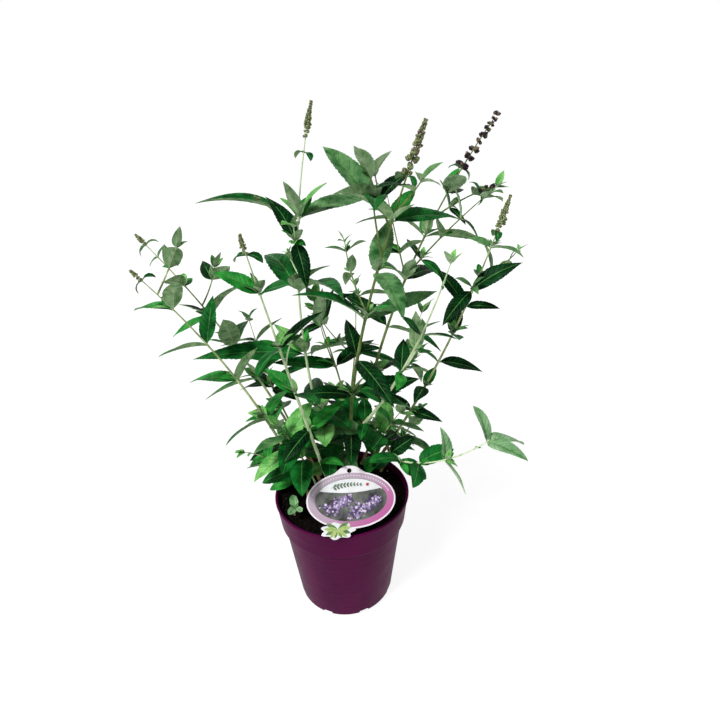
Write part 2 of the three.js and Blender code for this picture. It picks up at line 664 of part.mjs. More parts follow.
// The woody foot that carries the two strongest shoots.
function stool(carried) {
  const floor = SOIL_LEVEL + GAP;
  const rings = [
    [STOOL_FLARE_RADIUS, 0],
    [STOOL_FLARE_RADIUS * 0.72, 3],
    [STOOL_NECK_RADIUS, 9],
    [STOOL_NECK_RADIUS * 0.86, STOOL_HEIGHT],
  ].map(([radius, height]) => Array.from({ length: STOOL_SIDES }, (_, j) => {
    const angle = (2 * Math.PI * j) / STOOL_SIDES;
    const knobble = 1 + 0.12 * Math.sin(3 * angle + 1) * (1 - height / STOOL_HEIGHT);
    return vector(
      STOOL_FOOT[0] + radius * knobble * Math.cos(angle),
      STOOL_FOOT[1] + radius * knobble * Math.sin(angle),
      floor + height,
    );
  }));
  const arms = carried.map(({ shoot, path }) => (
    limb(shoot, path, STOOL_ARM_ROOT, STOOL_ARM, BOUGH_SIDES, BOUGH_STEP / 2)
  ));
  return wasm.Manifold.union([loft(rings), ...arms]);
}

// ---------------------------------------------------------------- assembly

const colours = {
  pot: { color: 0x5a2350, roughness: 0.42, metalness: 0 },
  compost: { color: 0x0d0b0a, roughness: 0.95, metalness: 0 },
  label: { color: 0xe9dfe9, roughness: 0.35, metalness: 0 },
  bark: { color: 0x8b9163, roughness: 0.7, metalness: 0 },
  foliage: { color: 0x1f6a34, roughness: 0.55, metalness: 0 },
};

const group = new THREE.Group();
const boxOf = (solid) => {
  const { min, max } = solid.boundingBox();
  return new THREE.Box3(vector(...min), vector(...max)).expandByScalar(GAP);
};
const taken = []; // every solid placed so far, with its box and the node that owns it

function take(solid, owner) {
  taken.push({ solid, owner, box: boxOf(solid) });
}

function isClear(solid, owner) {
  const box = boxOf(solid);
  return taken.every((other) => (
    other.owner === owner || !other.box.intersectsBox(box) || solid.minGap(other.solid, GAP) >= GAP
  ));
}

function addNode(name, solid, look) {
  const mesh = new THREE.Mesh(toGeometry(solid), new THREE.MeshStandardMaterial(colours[look]));
  mesh.name = name;
  group.add(mesh);
}

const paths = {};
SHOOTS.forEach((shoot) => {
  let start = vector(...(shoot.stool ? STOOL_FOOT : shoot.foot ?? [0, 0]), SOIL_LEVEL);
  if (shoot.parent) start = paths[shoot.parent].at(shoot.at);
  const grown = growShoot(shoot, start);
  paths[shoot.name] = grown.path;
  shoot.grown = grown;
});

[['pot', pot(), 'pot'], ['compost', compost(), 'compost'], ['label', label(), 'label']]
  .forEach(([name, solid, look]) => {
    take(solid, name);
    addNode(name, solid, look);
  });

const stoolSolid = stool(
  SHOOTS.filter((shoot) => shoot.stool).map((shoot) => ({ shoot, path: paths[shoot.name] })),
);
take(stoolSolid, 'stool');
addNode('stool', stoolSolid, 'bark');

SHOOTS.forEach((shoot) => {
  const path = paths[shoot.name];
  let bough = null;
  if (shoot.stool) bough = limb(shoot, path, STOOL_ARM + GAP, shoot.bare, BOUGH_SIDES, BOUGH_STEP);
  else if (shoot.parent) bough = limb(shoot, path, shoot.skip, shoot.bare, BOUGH_SIDES, BOUGH_STEP);
  else bough = rootedLimb(shoot, path, shoot.bare);
  take(bough, `bough_${shoot.name}`);
  addNode(`bough_${shoot.name}`, bough, 'bark');
  shoot.grown.stems.forEach((stem) => take(stem, `foliage_${shoot.name}`));
});

SHOOTS.forEach((shoot) => {
  const owner = `foliage_${shoot.name}`;
  const kept = [...shoot.grown.stems];
  shoot.grown.leaves.forEach((places) => {
    const solid = places.map(leafSolid).find((candidate) => isClear(candidate, owner));
    if (!solid) return;
    kept.push(solid);
    take(solid, owner);
  });
  addNode(owner, wasm.Manifold.union(kept), 'foliage');
});

export default group;
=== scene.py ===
import json
import math

import bpy
import numpy as np
from mathutils import Matrix, Vector
from mathutils.bvhtree import BVHTree

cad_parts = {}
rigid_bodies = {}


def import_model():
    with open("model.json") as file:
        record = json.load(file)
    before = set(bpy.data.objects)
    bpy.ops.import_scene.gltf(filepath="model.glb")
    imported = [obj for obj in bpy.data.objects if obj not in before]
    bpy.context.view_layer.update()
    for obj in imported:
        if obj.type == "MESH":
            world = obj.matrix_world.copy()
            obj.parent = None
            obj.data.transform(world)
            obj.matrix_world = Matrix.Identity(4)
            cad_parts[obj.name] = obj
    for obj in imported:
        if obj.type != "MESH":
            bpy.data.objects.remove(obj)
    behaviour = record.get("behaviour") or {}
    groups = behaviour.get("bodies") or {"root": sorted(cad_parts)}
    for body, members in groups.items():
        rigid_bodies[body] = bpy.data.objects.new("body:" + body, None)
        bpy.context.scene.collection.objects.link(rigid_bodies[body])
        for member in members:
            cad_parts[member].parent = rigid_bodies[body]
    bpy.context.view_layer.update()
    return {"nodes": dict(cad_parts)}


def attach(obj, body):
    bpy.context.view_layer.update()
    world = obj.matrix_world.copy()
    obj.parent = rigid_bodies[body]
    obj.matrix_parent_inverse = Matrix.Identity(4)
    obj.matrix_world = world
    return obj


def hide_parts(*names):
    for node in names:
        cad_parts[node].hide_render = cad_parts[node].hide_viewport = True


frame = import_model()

# A young butterfly bush in a plum purple nursery pot, with an oval plant label in its compost.
# Sizes are in millimetres, and angles in degrees, as in the part's own source. Meshes are turned into
# metres when built.

MM = 0.001
BODY = "root"

# ---- sizes

GAP = 0.3
POT_HEIGHT = 156
POT_RIM_RADIUS = 85
POT_BASE_RADIUS = 62.5
POT_WALL = 1.8
POT_FLOOR = 2.4
FOOT_CHAMFER = 3.5
COLLAR_HEIGHT = 37
COLLAR_FOOT_RADIUS = 80.3
COLLAR_STEP = 3.6
LIP_HEIGHT = 3.6
LIP_PROUD = 1.1
DRAIN_COUNT = 8
DRAIN_WIDTH = 13
DRAIN_HEIGHT = 7
DRAIN_INNER_RADIUS = 53
SOIL_LEVEL = 148

LABEL_HALF_WIDTH = 50.7
LABEL_HALF_HEIGHT = 31.4
LABEL_THICKNESS = 1
LABEL_CENTRE = (12.8, -61.6, 189.8)
LABEL_LEAN = 40
LABEL_ROLL = 2
LABEL_TAB_HALF_WIDTH = 21
LABEL_TAB_HEIGHT = 6.4
LABEL_TAB_WAIST = 0.62
LABEL_TAB_CROWN = 0.56
LABEL_TAB_EASE = 2
LABEL_HOLE_RADIUS = 2.6
LABEL_HOLE_DROP = 5.6
LABEL_LOBE_CENTRE = (-16.5, -32.4)
LABEL_LOBE_HALF = (18, 8.6)
LABEL_LOBE_WAVES = 7
LABEL_LOBE_WAVE_DEPTH = 0.13
STAKE_WIDTH = 9
STAKE_THICKNESS = 1.6
STAKE_BACK = 5
STAKE_DEPTH = 36

PATH_STEPS = 24
TWIG_RADIUS = 1.2
FLARE_HEIGHT = 7
FLARE_SWELL = 0.7
STOOL_FOOT = (14, 32)
STOOL_HEIGHT = 24
STOOL_FLARE_RADIUS = 9
STOOL_NECK_RADIUS = 5.2
SHORT_LEAF_WIDTH = 0.46
LONG_LEAF_WIDTH = 0.31
LEAF_WIDTH_SPAN = (20, 90)
LEAF_FOLD = 24
# How single leaves differ. For sizes and droops: the least value, and how far it goes above that.
# A spread is the whole range, half of it to each side.
LEAF_SIZES = (0.8, 0.42)
LEAF_DROOPS = (10, 40)
LEAF_TURN_SPREAD = 36
LEAF_OPENING_SPREAD = 24
LEAF_ROLL_SPREAD = 48
# How far leaves stand open from their stem at its foot, and how much less they do at its tip.
LEAF_OPENING = (72, 16)
# Now and then a leaf has two small ones in its axil.
AXIL_CHANCE = 0.06
AXIL_TURN = 38
AXIL_OPENING = 34
AXIL_SIZES = (0.3, 0.2)
AXIL_RISE = 1.5
AXIL_LEAST_LEAF = 24
TIP_LEAVES = (0.42, 26)
# Leaf pairs start this far above a bough, and end this far below the top of the leafy length. With no
# bud spike that top is a little below the tip.
FIRST_PAIR_RISE = 6
LAST_PAIR_DROP = 3
BARE_TIP = 2
# The two leaves below a bud spike curl down to the stem.
CURLED_LENGTH = 17
CURLED_DROOP = 100
CURLED_DROP = 1.5
CURLED_RISE = 0.45
CURLED_TURN = 20
# The gap between the leaf pairs of a side twig, as a share of its leaves' length, and at least.
TWIG_GAP = (0.8, 18)
TWIG_SHRINK = 0.94
TWIG_PAIR_TURN = 45
# How far a planned leaf is turned about its stem where it has no room, in the order of the tries.
TRIES = (0, 14, -14, 28, -28)

# Each shoot is an arc, with the same values as in the part's source.
# foot: where it stands in the compost. One with stool stands on the woody stool, and one with a
# parent leaves that shoot at the distance at.
# heading, lean: which way it sets off, and how far from upright. bend, turn: how much more it leans,
# and how far its heading has turned, at its tip. bare: the length of its bough, which has no leaves.
# first, gap, shrink: where the first leaf pair sits, how far on the next one sits, and by what factor
# the gaps change upwards. pair: which way the first pair points. leaf: how long the leaves are.
# panicle: length and radius of its bud spike, with curled leaves that far below it. tip: share of
# the leaves' length, and opening, of the leaves at a tip with no spike. side: its side twigs, each
# with the values that TWIG_VALUES names, the last one or two of which may be missing.
TWIG_VALUES = ("at", "seed", "heading", "lean", "bend", "turn", "length", "leaf", "panicle")
SHOOTS = [
    dict(
        name="tall_centre", seed=427, foot=(-6, 30), heading=156, lean=17, bend=-32, turn=37,
        length=457, radius=2.3, bare=96, first=108, gap=75, shrink=1.04, pair=45, leaf=116,
        panicle=(34, 5), curled=15,
        side=[
            (334, 165, 183, 56, -6, 0, 55, 0, (9, 3)), (337, 406, 17, 25, 0, 0, 26),
            (304, 648, 275, 64, -20, 0, 66, 59), (283, 442, 146, 38, -20, 0, 26, 27),
        ],
    ),
    dict(
        name="main", seed=659, stool=True, heading=260, lean=16, bend=4, turn=87, length=449,
        radius=2.9, bare=84, first=100, gap=55, shrink=0.98, pair=110, leaf=75, panicle=(44, 8),
        side=[
            (332, 998, 226, 19, -14, 14, 72, 80), (269, 246, 125, 44, -4, -28, 85, 33),
            (371, 227, 314, 51, -10, 0, 42, 50), (357, 462, 145, 23, -10, 0, 49, 44),
        ],
    ),
    dict(
        name="right_tall", seed=569, stool=True, heading=44, lean=11, bend=25, turn=-40, length=482,
        radius=2.6, bare=58, first=80, gap=68, shrink=0.94, pair=25, leaf=90, panicle=(68, 6),
        side=[
            (279, 282, 343, 38, 12, 4, 141, 42), (275, 54, 153, 16, -3, -6, 102, 51),
            (352, 380, 333, 53, 18, -3, 78, 36, (18, 4)),
        ],
    ),
    dict(
        name="left", seed=538, foot=(-26, 16), heading=154, lean=25, bend=18, turn=15, length=389,
        radius=2.1, bare=52, first=72, gap=48, shrink=0.99, pair=120, leaf=77, panicle=(16, 4),
        side=[(278, 447, 44, 40, -12, 28, 52, 55)],
    ),
    dict(
        name="left_low", seed=470, foot=(-38, -14), heading=162, lean=19, bend=20, turn=31, length=345,
        radius=2.2, bare=56, first=65, gap=61, shrink=0.94, pair=85, leaf=75, panicle=(14, 4),
        side=[(310, 584, 68, 49, -10, 0, 60, 53)],
    ),
    dict(
        name="front_left", seed=357, foot=(-12, 0), heading=244, lean=20, bend=-2, turn=0, length=368,
        radius=2.6, bare=42, first=73, gap=56, shrink=1.04, pair=165, leaf=51, panicle=(18, 4),
        side=[(225, 980, 202, -6, -20, 0, 27, 34)],
    ),
    dict(
        name="right", seed=597, foot=(38, 50), heading=326, lean=31, bend=-16, turn=26, length=394,
        radius=2.3, bare=56, first=80, gap=42, shrink=0.96, pair=6, leaf=47, panicle=(36, 5.5),
        side=[
            (282, 869, 261, 55, 0, 0, 44, 51), (303, 829, 26, 74, -9, 20, 73, 36),
        ],
    ),
    dict(
        name="front_right", seed=697, parent="main", at=84, heading=312, lean=42, bend=-23,
        turn=0, length=278, radius=2.4, bare=34, first=41, gap=50, shrink=1.04, pair=45, leaf=38,
        side=[(151, 924, 54, 75, -30, 0, 49, 41)],
    ),
    dict(
        name="low_right", seed=203, parent="right", at=56, heading=262, lean=77, bend=-24,
        turn=100, length=190, radius=1.7, bare=26, first=33, gap=33, shrink=1.04, pair=55, leaf=42,
        tip=(1, 46),
    ),
    dict(
        name="short_centre", seed=41, foot=(0, 47), heading=4, lean=16, bend=-56, turn=-70, length=247,
        radius=2, bare=78, first=99, gap=59, shrink=0.98, pair=15, leaf=78,
        side=[(154, 280, 132, 38, -20, 0, 60, 51)],
    ),
    dict(
        name="back", seed=23, foot=(-12, 56), heading=57, lean=35, bend=-10, turn=35, length=262,
        radius=2, bare=40, first=48, gap=56, shrink=1.04, pair=165, leaf=53,
        side=[(159, 271, 192, 45, -20, 0, 93, 48)],
    ),
    dict(
        name="back_right", seed=12, foot=(26, 62), heading=52, lean=43, bend=-10, turn=-6, length=236,
        radius=2, bare=36, first=48, gap=48, shrink=1.04, pair=45, leaf=61,
        side=[(134, 967, 395, 68, -20, 0, 52, 51)],
    ),
    dict(
        name="back_left", seed=410, foot=(-30, 40), heading=140, lean=46, bend=-14, turn=-20,
        length=244, radius=2, bare=36, first=64, gap=41, shrink=0.92, pair=125, leaf=63,
        side=[(118, 362, 236, 28, -20, 0, 52, 43)],
    ),
    dict(
        name="foot_left", seed=926, foot=(-52, 4), heading=150, lean=28, bend=36, turn=60, length=100,
        radius=1.6, bare=12, first=19, gap=24, shrink=0.99, pair=125, leaf=35,
    ),
    dict(
        name="foot_front_left", seed=924, foot=(-26, -10), heading=233, lean=14, bend=14, turn=-20,
        length=138, radius=1.7, bare=12, first=64, gap=15, shrink=0.95, pair=55, leaf=53,
    ),
    dict(
        name="foot_centre", seed=206, foot=(-4, 16), heading=235, lean=14, bend=-6, turn=6, length=134,
        radius=1.7, bare=14, first=41, gap=14, shrink=0.9, pair=90, leaf=53,
    ),
    dict(
        name="foot_right", seed=697, foot=(33, 36), heading=300, lean=16, bend=19, turn=30, length=134,
        radius=1.7, bare=16, first=42, gap=22, shrink=1.01, pair=55, leaf=48,
    ),
    dict(
        name="foot_back_right", seed=428, foot=(52, 44), heading=30, lean=40, bend=20, turn=20,
        length=104, radius=1.6, bare=14, first=28, gap=25, shrink=0.95, pair=140, leaf=43,
    ),
    dict(
        name="foot_back", seed=507, foot=(6, 66), heading=100, lean=38, bend=24, turn=0, length=112,
        radius=1.6, bare=14, first=32, gap=20, shrink=0.97, pair=150, leaf=49,
    ),
    dict(
        name="sprig", seed=396, foot=(-57, -37), heading=290, lean=12, bend=20, turn=0, length=20,
        radius=0.9, bare=8, first=13, gap=9, shrink=1, pair=85, leaf=15, tip=(0.85, 62),
    ),
]

# ---- random numbers and vectors

WORD = 0xFFFFFFFF
UP = np.array([0.0, 0.0, 1.0])


def random_source(seed):
    """The source's own random numbers, from 0 to 1."""
    state = seed & WORD

    def draw():
        nonlocal state
        state = (state + 0x6D2B79F5) & WORD
        t = ((state ^ (state >> 15)) * (state | 1)) & WORD
        t = ((t + (t ^ (t >> 7)) * (t | 61)) & WORD) ^ t
        return (t ^ (t >> 14)) / 4294967296

    return draw


def unit(v):
    return v / np.linalg.norm(v)


def square_to(wanted, axis):
    """The direction nearest to the wanted one that is square to an axis."""
    return unit(wanted - axis * wanted.dot(axis))


def turned(a, b, angle):
    """The direction at an angle from a towards b."""
    return a * np.cos(angle) + b * np.sin(angle)


def smooth(low, high, x):
    """Goes from 0 at low to 1 at high, with no corner."""
    f = np.clip((x - low) / (high - low), 0, 1)
    return f * f * (3 - 2 * f)


# ---- growth rule


class Arc:
    """A shoot's arc: its point, and the axes of its section, at each distance along it."""

    def __init__(self, shoot, start):
        self.shoot = shoot
        self.length = shoot["length"]
        heading = math.radians(shoot["heading"])
        self.side = np.array([-math.sin(heading), math.cos(heading), 0.0])
        self.points = [np.array(start, float)]
        step = self.length / PATH_STEPS
        for i in range(PATH_STEPS):
            self.points.append(self.points[i] + self.direction((i + 0.5) / PATH_STEPS) * step)

    def direction(self, f):
        """The way it grows at a share f of its length."""
        heading = math.radians(self.shoot["heading"] + self.shoot["turn"] * f)
        lean = math.radians(self.shoot["lean"] + self.shoot["bend"] * f)
        out = math.sin(lean)
        return np.array([out * math.cos(heading), out * math.sin(heading), math.cos(lean)])

    def at(self, s):
        """Its point at distance s."""
        f = min(max(s / self.length, 0), 1) * PATH_STEPS
        i = min(int(f), PATH_STEPS - 1)
        return self.points[i] + (self.points[i + 1] - self.points[i]) * (f - i)

    def frame(self, s):
        """The way it grows at distance s, and the two axes of its section there."""
        along = self.direction(s / self.length)
        across = square_to(self.side, along)
        return along, across, np.cross(along, across)


def leaf_scale(f):
    """The share of the full length of leaves at a share f of their stem: most in the middle, and
    much less just below the tip."""
    return min(0.75 + 0.5 * f, 1.12 - 0.28 * f, max(0.24, 1 + 14 * (0.85 - f)))


def leaf_at(path, s, angle, length, spread, random):
    """The places one leaf may take, in the order in which they are tried."""
    size = length * (LEAF_SIZES[0] + LEAF_SIZES[1] * random())
    turn = math.radians(angle + LEAF_TURN_SPREAD * (random() - 0.5))
    opening = math.radians(spread + LEAF_OPENING_SPREAD * (random() - 0.5))
    droop = math.radians(LEAF_DROOPS[0] + LEAF_DROOPS[1] * random())
    roll = math.radians(LEAF_ROLL_SPREAD * (random() - 0.5))
    stem, across, over = path.frame(s)
    places = []
    for swing in TRIES:
        out = turned(across, over, turn + math.radians(swing))
        along = unit(turned(stem, out, opening))
        flat = square_to(stem * 0.5 + UP * 0.8, along)
        face = turned(flat, np.cross(along, flat), roll)
        places.append(dict(root=path.at(s), along=along, face=face, length=size, droop=droop))
    return places


def curled_leaf(path, s, angle):
    """The places one of the two leaves below a bud spike may take. It curls down to the stem."""
    stem, across, over = path.frame(s)
    droop = math.radians(CURLED_DROOP)
    places = []
    for swing in TRIES:
        out = turned(across, over, math.radians(angle + swing))
        along = unit(CURLED_RISE * stem + out)
        face = square_to(stem, along)
        places.append(dict(root=path.at(s), along=along, face=face, length=CURLED_LENGTH, droop=droop))
    return places


def top_of(shoot):
    """How far up a stem has leaves: to the foot of its bud spike, or nearly to its tip."""
    return shoot["length"] - (shoot["panicle"][0] if "panicle" in shoot else BARE_TIP)


def pair_places(shoot):
    """The distance of each leaf pair along its stem."""
    s, gap, places = shoot["first"], shoot["gap"], []
    while s < top_of(shoot) - LAST_PAIR_DROP:
        places.append(s)
        s += gap
        gap *= shoot["shrink"]
    return places


def leaves_of(shoot, path, start):
    """The leaves that the rule plans for one stem: (places, distance, angle, is a main leaf)."""
    random = random_source(shoot["seed"])
    leaves = []
    for k, s in enumerate(pair_places(shoot)):
        f = s / shoot["length"]
        size = shoot["leaf"] * leaf_scale(f)
        for half in (0, 180):
            angle = shoot["pair"] + 90 * k + half
            leaf = leaf_at(path, s, angle, size, LEAF_OPENING[0] - LEAF_OPENING[1] * f, random)
            tuft = random() < AXIL_CHANCE
            young = []
            for turn in (AXIL_TURN, -AXIL_TURN):
                small = size * (AXIL_SIZES[0] + AXIL_SIZES[1] * random())
                young.append(leaf_at(path, s + AXIL_RISE, angle + turn, small, AXIL_OPENING, random))
            if s >= start:
                leaves.append((leaf, s, angle, True))
                if tuft and size > AXIL_LEAST_LEAF:
                    leaves += [(places, s, angle, False) for places in young]
    if "panicle" in shoot:
        s = top_of(shoot) - shoot.get("curled", CURLED_DROP)
        for half in (0, 180):
            angle = shoot["pair"] + CURLED_TURN + half
            leaves.append((curled_leaf(path, s, angle), s, angle, False))
    else:
        share, spread = shoot.get("tip", TIP_LEAVES)
        s = top_of(shoot) - 1
        for turn in (0, 120, 240):
            angle = shoot["pair"] + turn
            leaf = leaf_at(path, s, angle, shoot["leaf"] * share, spread, random)
            leaves.append((leaf, s, angle, False))
    return leaves


def side_twig(shoot, row):
    """A side twig, with what its row doesn't say worked out from its leaves and its shoot."""
    leaf = row.get("leaf", 0)
    share, least = TWIG_GAP
    gap = max(least, leaf * share)
    twig = dict(
        radius=TWIG_RADIUS, first=gap * 0.75, gap=gap, shrink=TWIG_SHRINK, bare=0,
        pair=shoot["pair"] + TWIG_PAIR_TURN,
    )
    return {**twig, **row, "leaf": leaf}


def foot_of(shoot):
    """Where a shoot stands: on the stool, or in the compost."""
    x, y = STOOL_FOOT if shoot.get("stool") else shoot["foot"]
    return np.array([x, y, SOIL_LEVEL], float)


def grown_shoots():
    """Each shoot with its arc, its side twigs and their arcs, and the leaves planned on them all."""
    shoots = {}
    for shoot in SHOOTS:
        if "parent" in shoot:
            start = shoots[shoot["parent"]]["path"].at(shoot["at"])
        else:
            start = foot_of(shoot)
        path = Arc(shoot, start)
        stems = [(shoot, path)]
        planned = [(path, *leaf) for leaf in leaves_of(shoot, path, shoot["bare"] + FIRST_PAIR_RISE)]
        for row in shoot.get("side", []):
            twig = side_twig(shoot, dict(zip(TWIG_VALUES, row)))
            twig_path = Arc(twig, path.at(twig["at"]))
            stems.append((twig, twig_path))
            if twig["leaf"] > 0:
                planned += [(twig_path, *leaf) for leaf in leaves_of(twig, twig_path, 0)]
        shoots[shoot["name"]] = dict(shoot=shoot, path=path, stems=stems, planned=planned)
    return shoots


def leaf_point(leaf, t):
    """The midrib's point, and the way its face looks, at shares t of the leaf's length. The leaf
    arches over along a circle."""
    t = np.asarray(t, float)[..., None]
    bend = leaf["droop"] * t
    chord = leaf["length"] * t * np.sinc(bend / (2 * math.pi))
    face = turned(leaf["face"], leaf["along"], bend)
    centre = leaf["root"] + turned(leaf["along"], -leaf["face"], bend / 2) * chord
    return centre, face


def kept_place(places, surface):
    """The place that a planned leaf has in the solid, or None if there was no room for it."""
    for leaf in places:
        tip = Vector(leaf_point(leaf, 1)[0] * MM)
        if surface.find_nearest(tip)[3] < 0.4 * MM:
            return leaf
    return None


# ---- joined meshes


class Gather:
    """Collects many small closed shapes for one joined mesh."""

    def __init__(self):
        self.points = []
        self.faces = []
        self.slots = []
        self.count = 0

    def add(self, points, faces, slots):
        """points in millimetres, faces as lists of indices into them, one material slot for each."""
        self.points.append(points)
        self.faces += [[self.count + i for i in face] for face in faces]
        self.slots += slots
        self.count += len(points)

    def loft(self, rings, slots, blade=False):
        """A closed skin over rings of points, each an array of the same length.
        slots is one material slot, or one for each place between two rings and two of their points.
        On a blade, whose second half of each ring runs back under the first, both faces are split
        along the same diagonals."""
        rings = np.asarray(rings)
        rows, sides, _ = rings.shape
        slots = np.broadcast_to(slots, (rows - 1, sides)).ravel()
        i = np.arange(rows - 1)[:, None] * sides
        j = np.arange(sides)[None, :]
        k = (j + 1) % sides
        a, b, c, d = i + j, i + k, i + sides + k, i + sides + j
        if blade:
            below = j >= sides // 2
            halves = [a, b, np.where(below, d, c), np.where(below, b, a), c, d]
            faces = np.stack(halves, axis=2).reshape(-1, 3).tolist()
            slots = np.repeat(slots, 2)
        else:
            faces = np.stack([a, b, c, d], axis=2).reshape(-1, 4).tolist()
        faces.append(list(range(sides - 1, -1, -1)))
        faces.append(list(range((rows - 1) * sides, rows * sides)))
        self.add(rings.reshape(-1, 3), faces, slots.tolist() + [int(slots[0])] * 2)

    def build(self, name, materials, sharp=50):
        """One object from all of it. Edges with a bend of more than sharp degrees stay sharp."""
        mesh = bpy.data.meshes.new(name)
        points = np.concatenate(self.points) * MM
        mesh.from_pydata(points.tolist(), [], self.faces)
        for material in materials:
            mesh.materials.append(material)
        mesh.polygons.foreach_set("material_index", self.slots)
        mesh.polygons.foreach_set("use_smooth", [True] * len(self.faces))
        mesh.set_sharp_from_angle(angle=math.radians(sharp))
        mesh.update()
        return add_piece(name, mesh)


def add_piece(name, mesh):
    piece = bpy.data.objects.new(name, mesh)
    bpy.context.scene.collection.objects.link(piece)
    return piece


def angles_of(sides):
    return 2 * math.pi * np.arange(sides) / sides


def evaluated_mesh(thing):
    """The mesh that an object comes to, with its modifiers and its curve's bevel."""
    return bpy.data.meshes.new_from_object(thing.evaluated_get(bpy.context.evaluated_depsgraph_get()))


def circle(sides):
    angle = angles_of(sides)
    return np.cos(angle)[:, None], np.sin(angle)[:, None]


def ring(path, s, radii, sides):
    """A ring of points round a stem. radii is one radius, or one for each side."""
    _, across, over = path.frame(s)
    cos, sin = circle(sides)
    return path.at(s) + np.reshape(radii, (-1, 1)) * (cos * across + sin * over)


def level_ring(radii, heights, sides):
    """A ring of points round the pot's axis. radii and heights are one value, or one for each side."""
    cos, sin = circle(sides)
    radii, heights = (np.reshape(values, (-1, 1)) for values in (radii, heights))
    return np.concatenate([radii * cos, radii * sin, heights + 0 * cos], axis=1)


# ---- materials


def srgb(red, green, blue):
    """A colour as the eye reads it, 0 to 255, turned into the linear values of a shader."""
    values = [c / 255 for c in (red, green, blue)]
    return [c / 12.92 if c <= 0.04045 else ((c + 0.055) / 1.055) ** 2.4 for c in values] + [1.0]


def feed(tree, socket, value):
    """Gives an input a value, or links it to another node's output."""
    if isinstance(value, bpy.types.NodeSocket):
        tree.links.new(value, socket)
    else:
        socket.default_value = value


def add_node(tree, kind, **inputs):
    """A new node. An input takes a value, or the output of another node."""
    node = tree.nodes.new("ShaderNode" + kind)
    for name, value in inputs.items():
        feed(tree, node.inputs[name.replace("_", " ")], value)
    return node


def calculated(tree, kind, operation, *values):
    """A node that calculates with its inputs in their order."""
    node = add_node(tree, kind)
    node.operation = operation
    for socket, value in zip(node.inputs, values):
        feed(tree, socket, value)
    return node.outputs["Value"]


def shader(name, roughness, **sockets):
    """A new material, with its node tree and shader. sockets are more of the shader's inputs."""
    material = bpy.data.materials.new(name)
    material.use_nodes = True
    bsdf = material.node_tree.nodes["Principled BSDF"]
    bsdf.inputs["Roughness"].default_value = roughness
    for socket, value in sockets.items():
        bsdf.inputs[socket.replace("_", " ")].default_value = value
    return material, material.node_tree, bsdf


def noise(tree, scale, detail=3.0, stretch=(1, 1, 1)):
    """Noise in the object's own space. scale is in cycles per metre."""
    place = add_node(tree, "TexCoord").outputs["Object"]
    mapping = add_node(tree, "Mapping", Vector=place, Scale=stretch)
    texture = add_node(tree, "TexNoise", Vector=mapping.outputs["Vector"], Scale=scale, Detail=detail)
    return texture.outputs["Fac"]


def ramp(tree, value, stops):
    """A colour ramp over a value: stops are (place, colour)."""
    node = add_node(tree, "ValToRGB", Fac=value)
    elements = node.color_ramp.elements
    while len(elements) < len(stops):
        elements.new(0.5)
    for element, (place, colour) in zip(elements, stops):
        element.position = place
        element.color = colour
    return node.outputs["Color"]


def bump(tree, bsdf, height, depth):
    """Fine relief, depth millimetres deep."""
    node = add_node(tree, "Bump", Height=height, Distance=depth * MM)
    tree.links.new(node.outputs["Normal"], bsdf.inputs["Normal"])


def mottled(name, dark, light, scale, roughness, grain, depth, stretch=(1, 1, 1), **sockets):
    """A material whose colour wanders between two tones, with a fine grain in relief."""
    material, tree, bsdf = shader(name, roughness, **sockets)
    colour = ramp(tree, noise(tree, scale, 4.0, stretch), [(0.32, srgb(*dark)), (0.7, srgb(*light))])
    tree.links.new(colour, bsdf.inputs["Base Color"])
    bump(tree, bsdf, noise(tree, grain, 3.0, stretch), depth)
    return material


# ---- leaves

# Places across a blade, from one margin to the other. The middle strip is the midrib.
LONG_ACROSS = (-1, -0.72, -0.46, -0.22, -0.045, 0.045, 0.22, 0.46, 0.72, 1)
MIDDLE_ACROSS = (-1, -0.62, -0.28, -0.055, 0.055, 0.28, 0.62, 1)
SMALL_ACROSS = (-1, -0.5, -0.08, 0.08, 0.5, 1)
# A leaf longer than the first value has the number of side veins and the places across after it.
LEAF_GRADES = ((44, 9, LONG_ACROSS), (17, 6, MIDDLE_ACROSS), (0, 2, SMALL_ACROSS))
LEAF_THICKNESS = 0.34
PETIOLE_HALF_WIDTH = 0.55
FOLD_SPREAD = 14
TWIST_SPREAD = 34
TOOTH_DEPTH = 0.08
MIDRIB_RISE = (0.25, 0.75)
# Side veins run from the first of these shares of a leaf's length to the second.
VEINED = (0.07, 0.96)
VEIN_STEPS = (0, 0.07, 0.38, 0.7)
FOOT_ROWS = 3
VEIN_SWEEP = 1.1
VEIN_DEPTH = 0.024
# How much broader the ovate leaves low on the plant are.
BROADER = 0.34

# The dark and the light colour of each tone. The deep tone is darker than a leaf's own green: it is
# partly painted shade, for the leaves inside the dense crown.
LEAF_TONES = {
    "deep": ((1, 14, 5), (6, 52, 18)),
    "full": ((3, 48, 15), (22, 102, 38)),
    "bright": ((10, 82, 24), (46, 138, 50)),
    "young": ((54, 124, 50), (124, 178, 102)),
    "grey": ((28, 74, 34), (98, 138, 88)),
    "pale": ((74, 120, 72), (136, 170, 128)),
}
PALE_TONES = ("young", "grey", "pale")
SILVERY_SPRAYS = ("main", "right_tall", "tall_centre")
BRIGHT_SPRAYS = ("left", "left_low", "front_left", "front_right", "low_right")
FELT = dict(Specular_IOR_Level=0.05, Sheen_Weight=0.04, Sheen_Roughness=0.6)
# The rest of a leaf: its colours, what mottled takes after them, and its gloss.
LEAF_PARTS = {
    "underside": ((68, 109, 60), (138, 170, 122), 110, 0.8, 2400, 0.16, FELT),
    "underside_young": ((96, 134, 86), (162, 190, 148), 110, 0.8, 2400, 0.16, FELT),
    "midrib": ((44, 98, 42), (82, 132, 68), 140, 0.55, 1800, 0.08, dict(Specular_IOR_Level=0.08)),
    "vein": ((14, 60, 22), (38, 100, 40), 140, 0.5, 1800, 0.08, dict(Specular_IOR_Level=0.06)),
    "midrib_underside": ((126, 146, 108), (166, 180, 142), 140, 0.75, 1800, 0.08, FELT),
}
LEAF_SLOT = {name: slot for slot, name in enumerate([*LEAF_TONES, *LEAF_PARTS])}


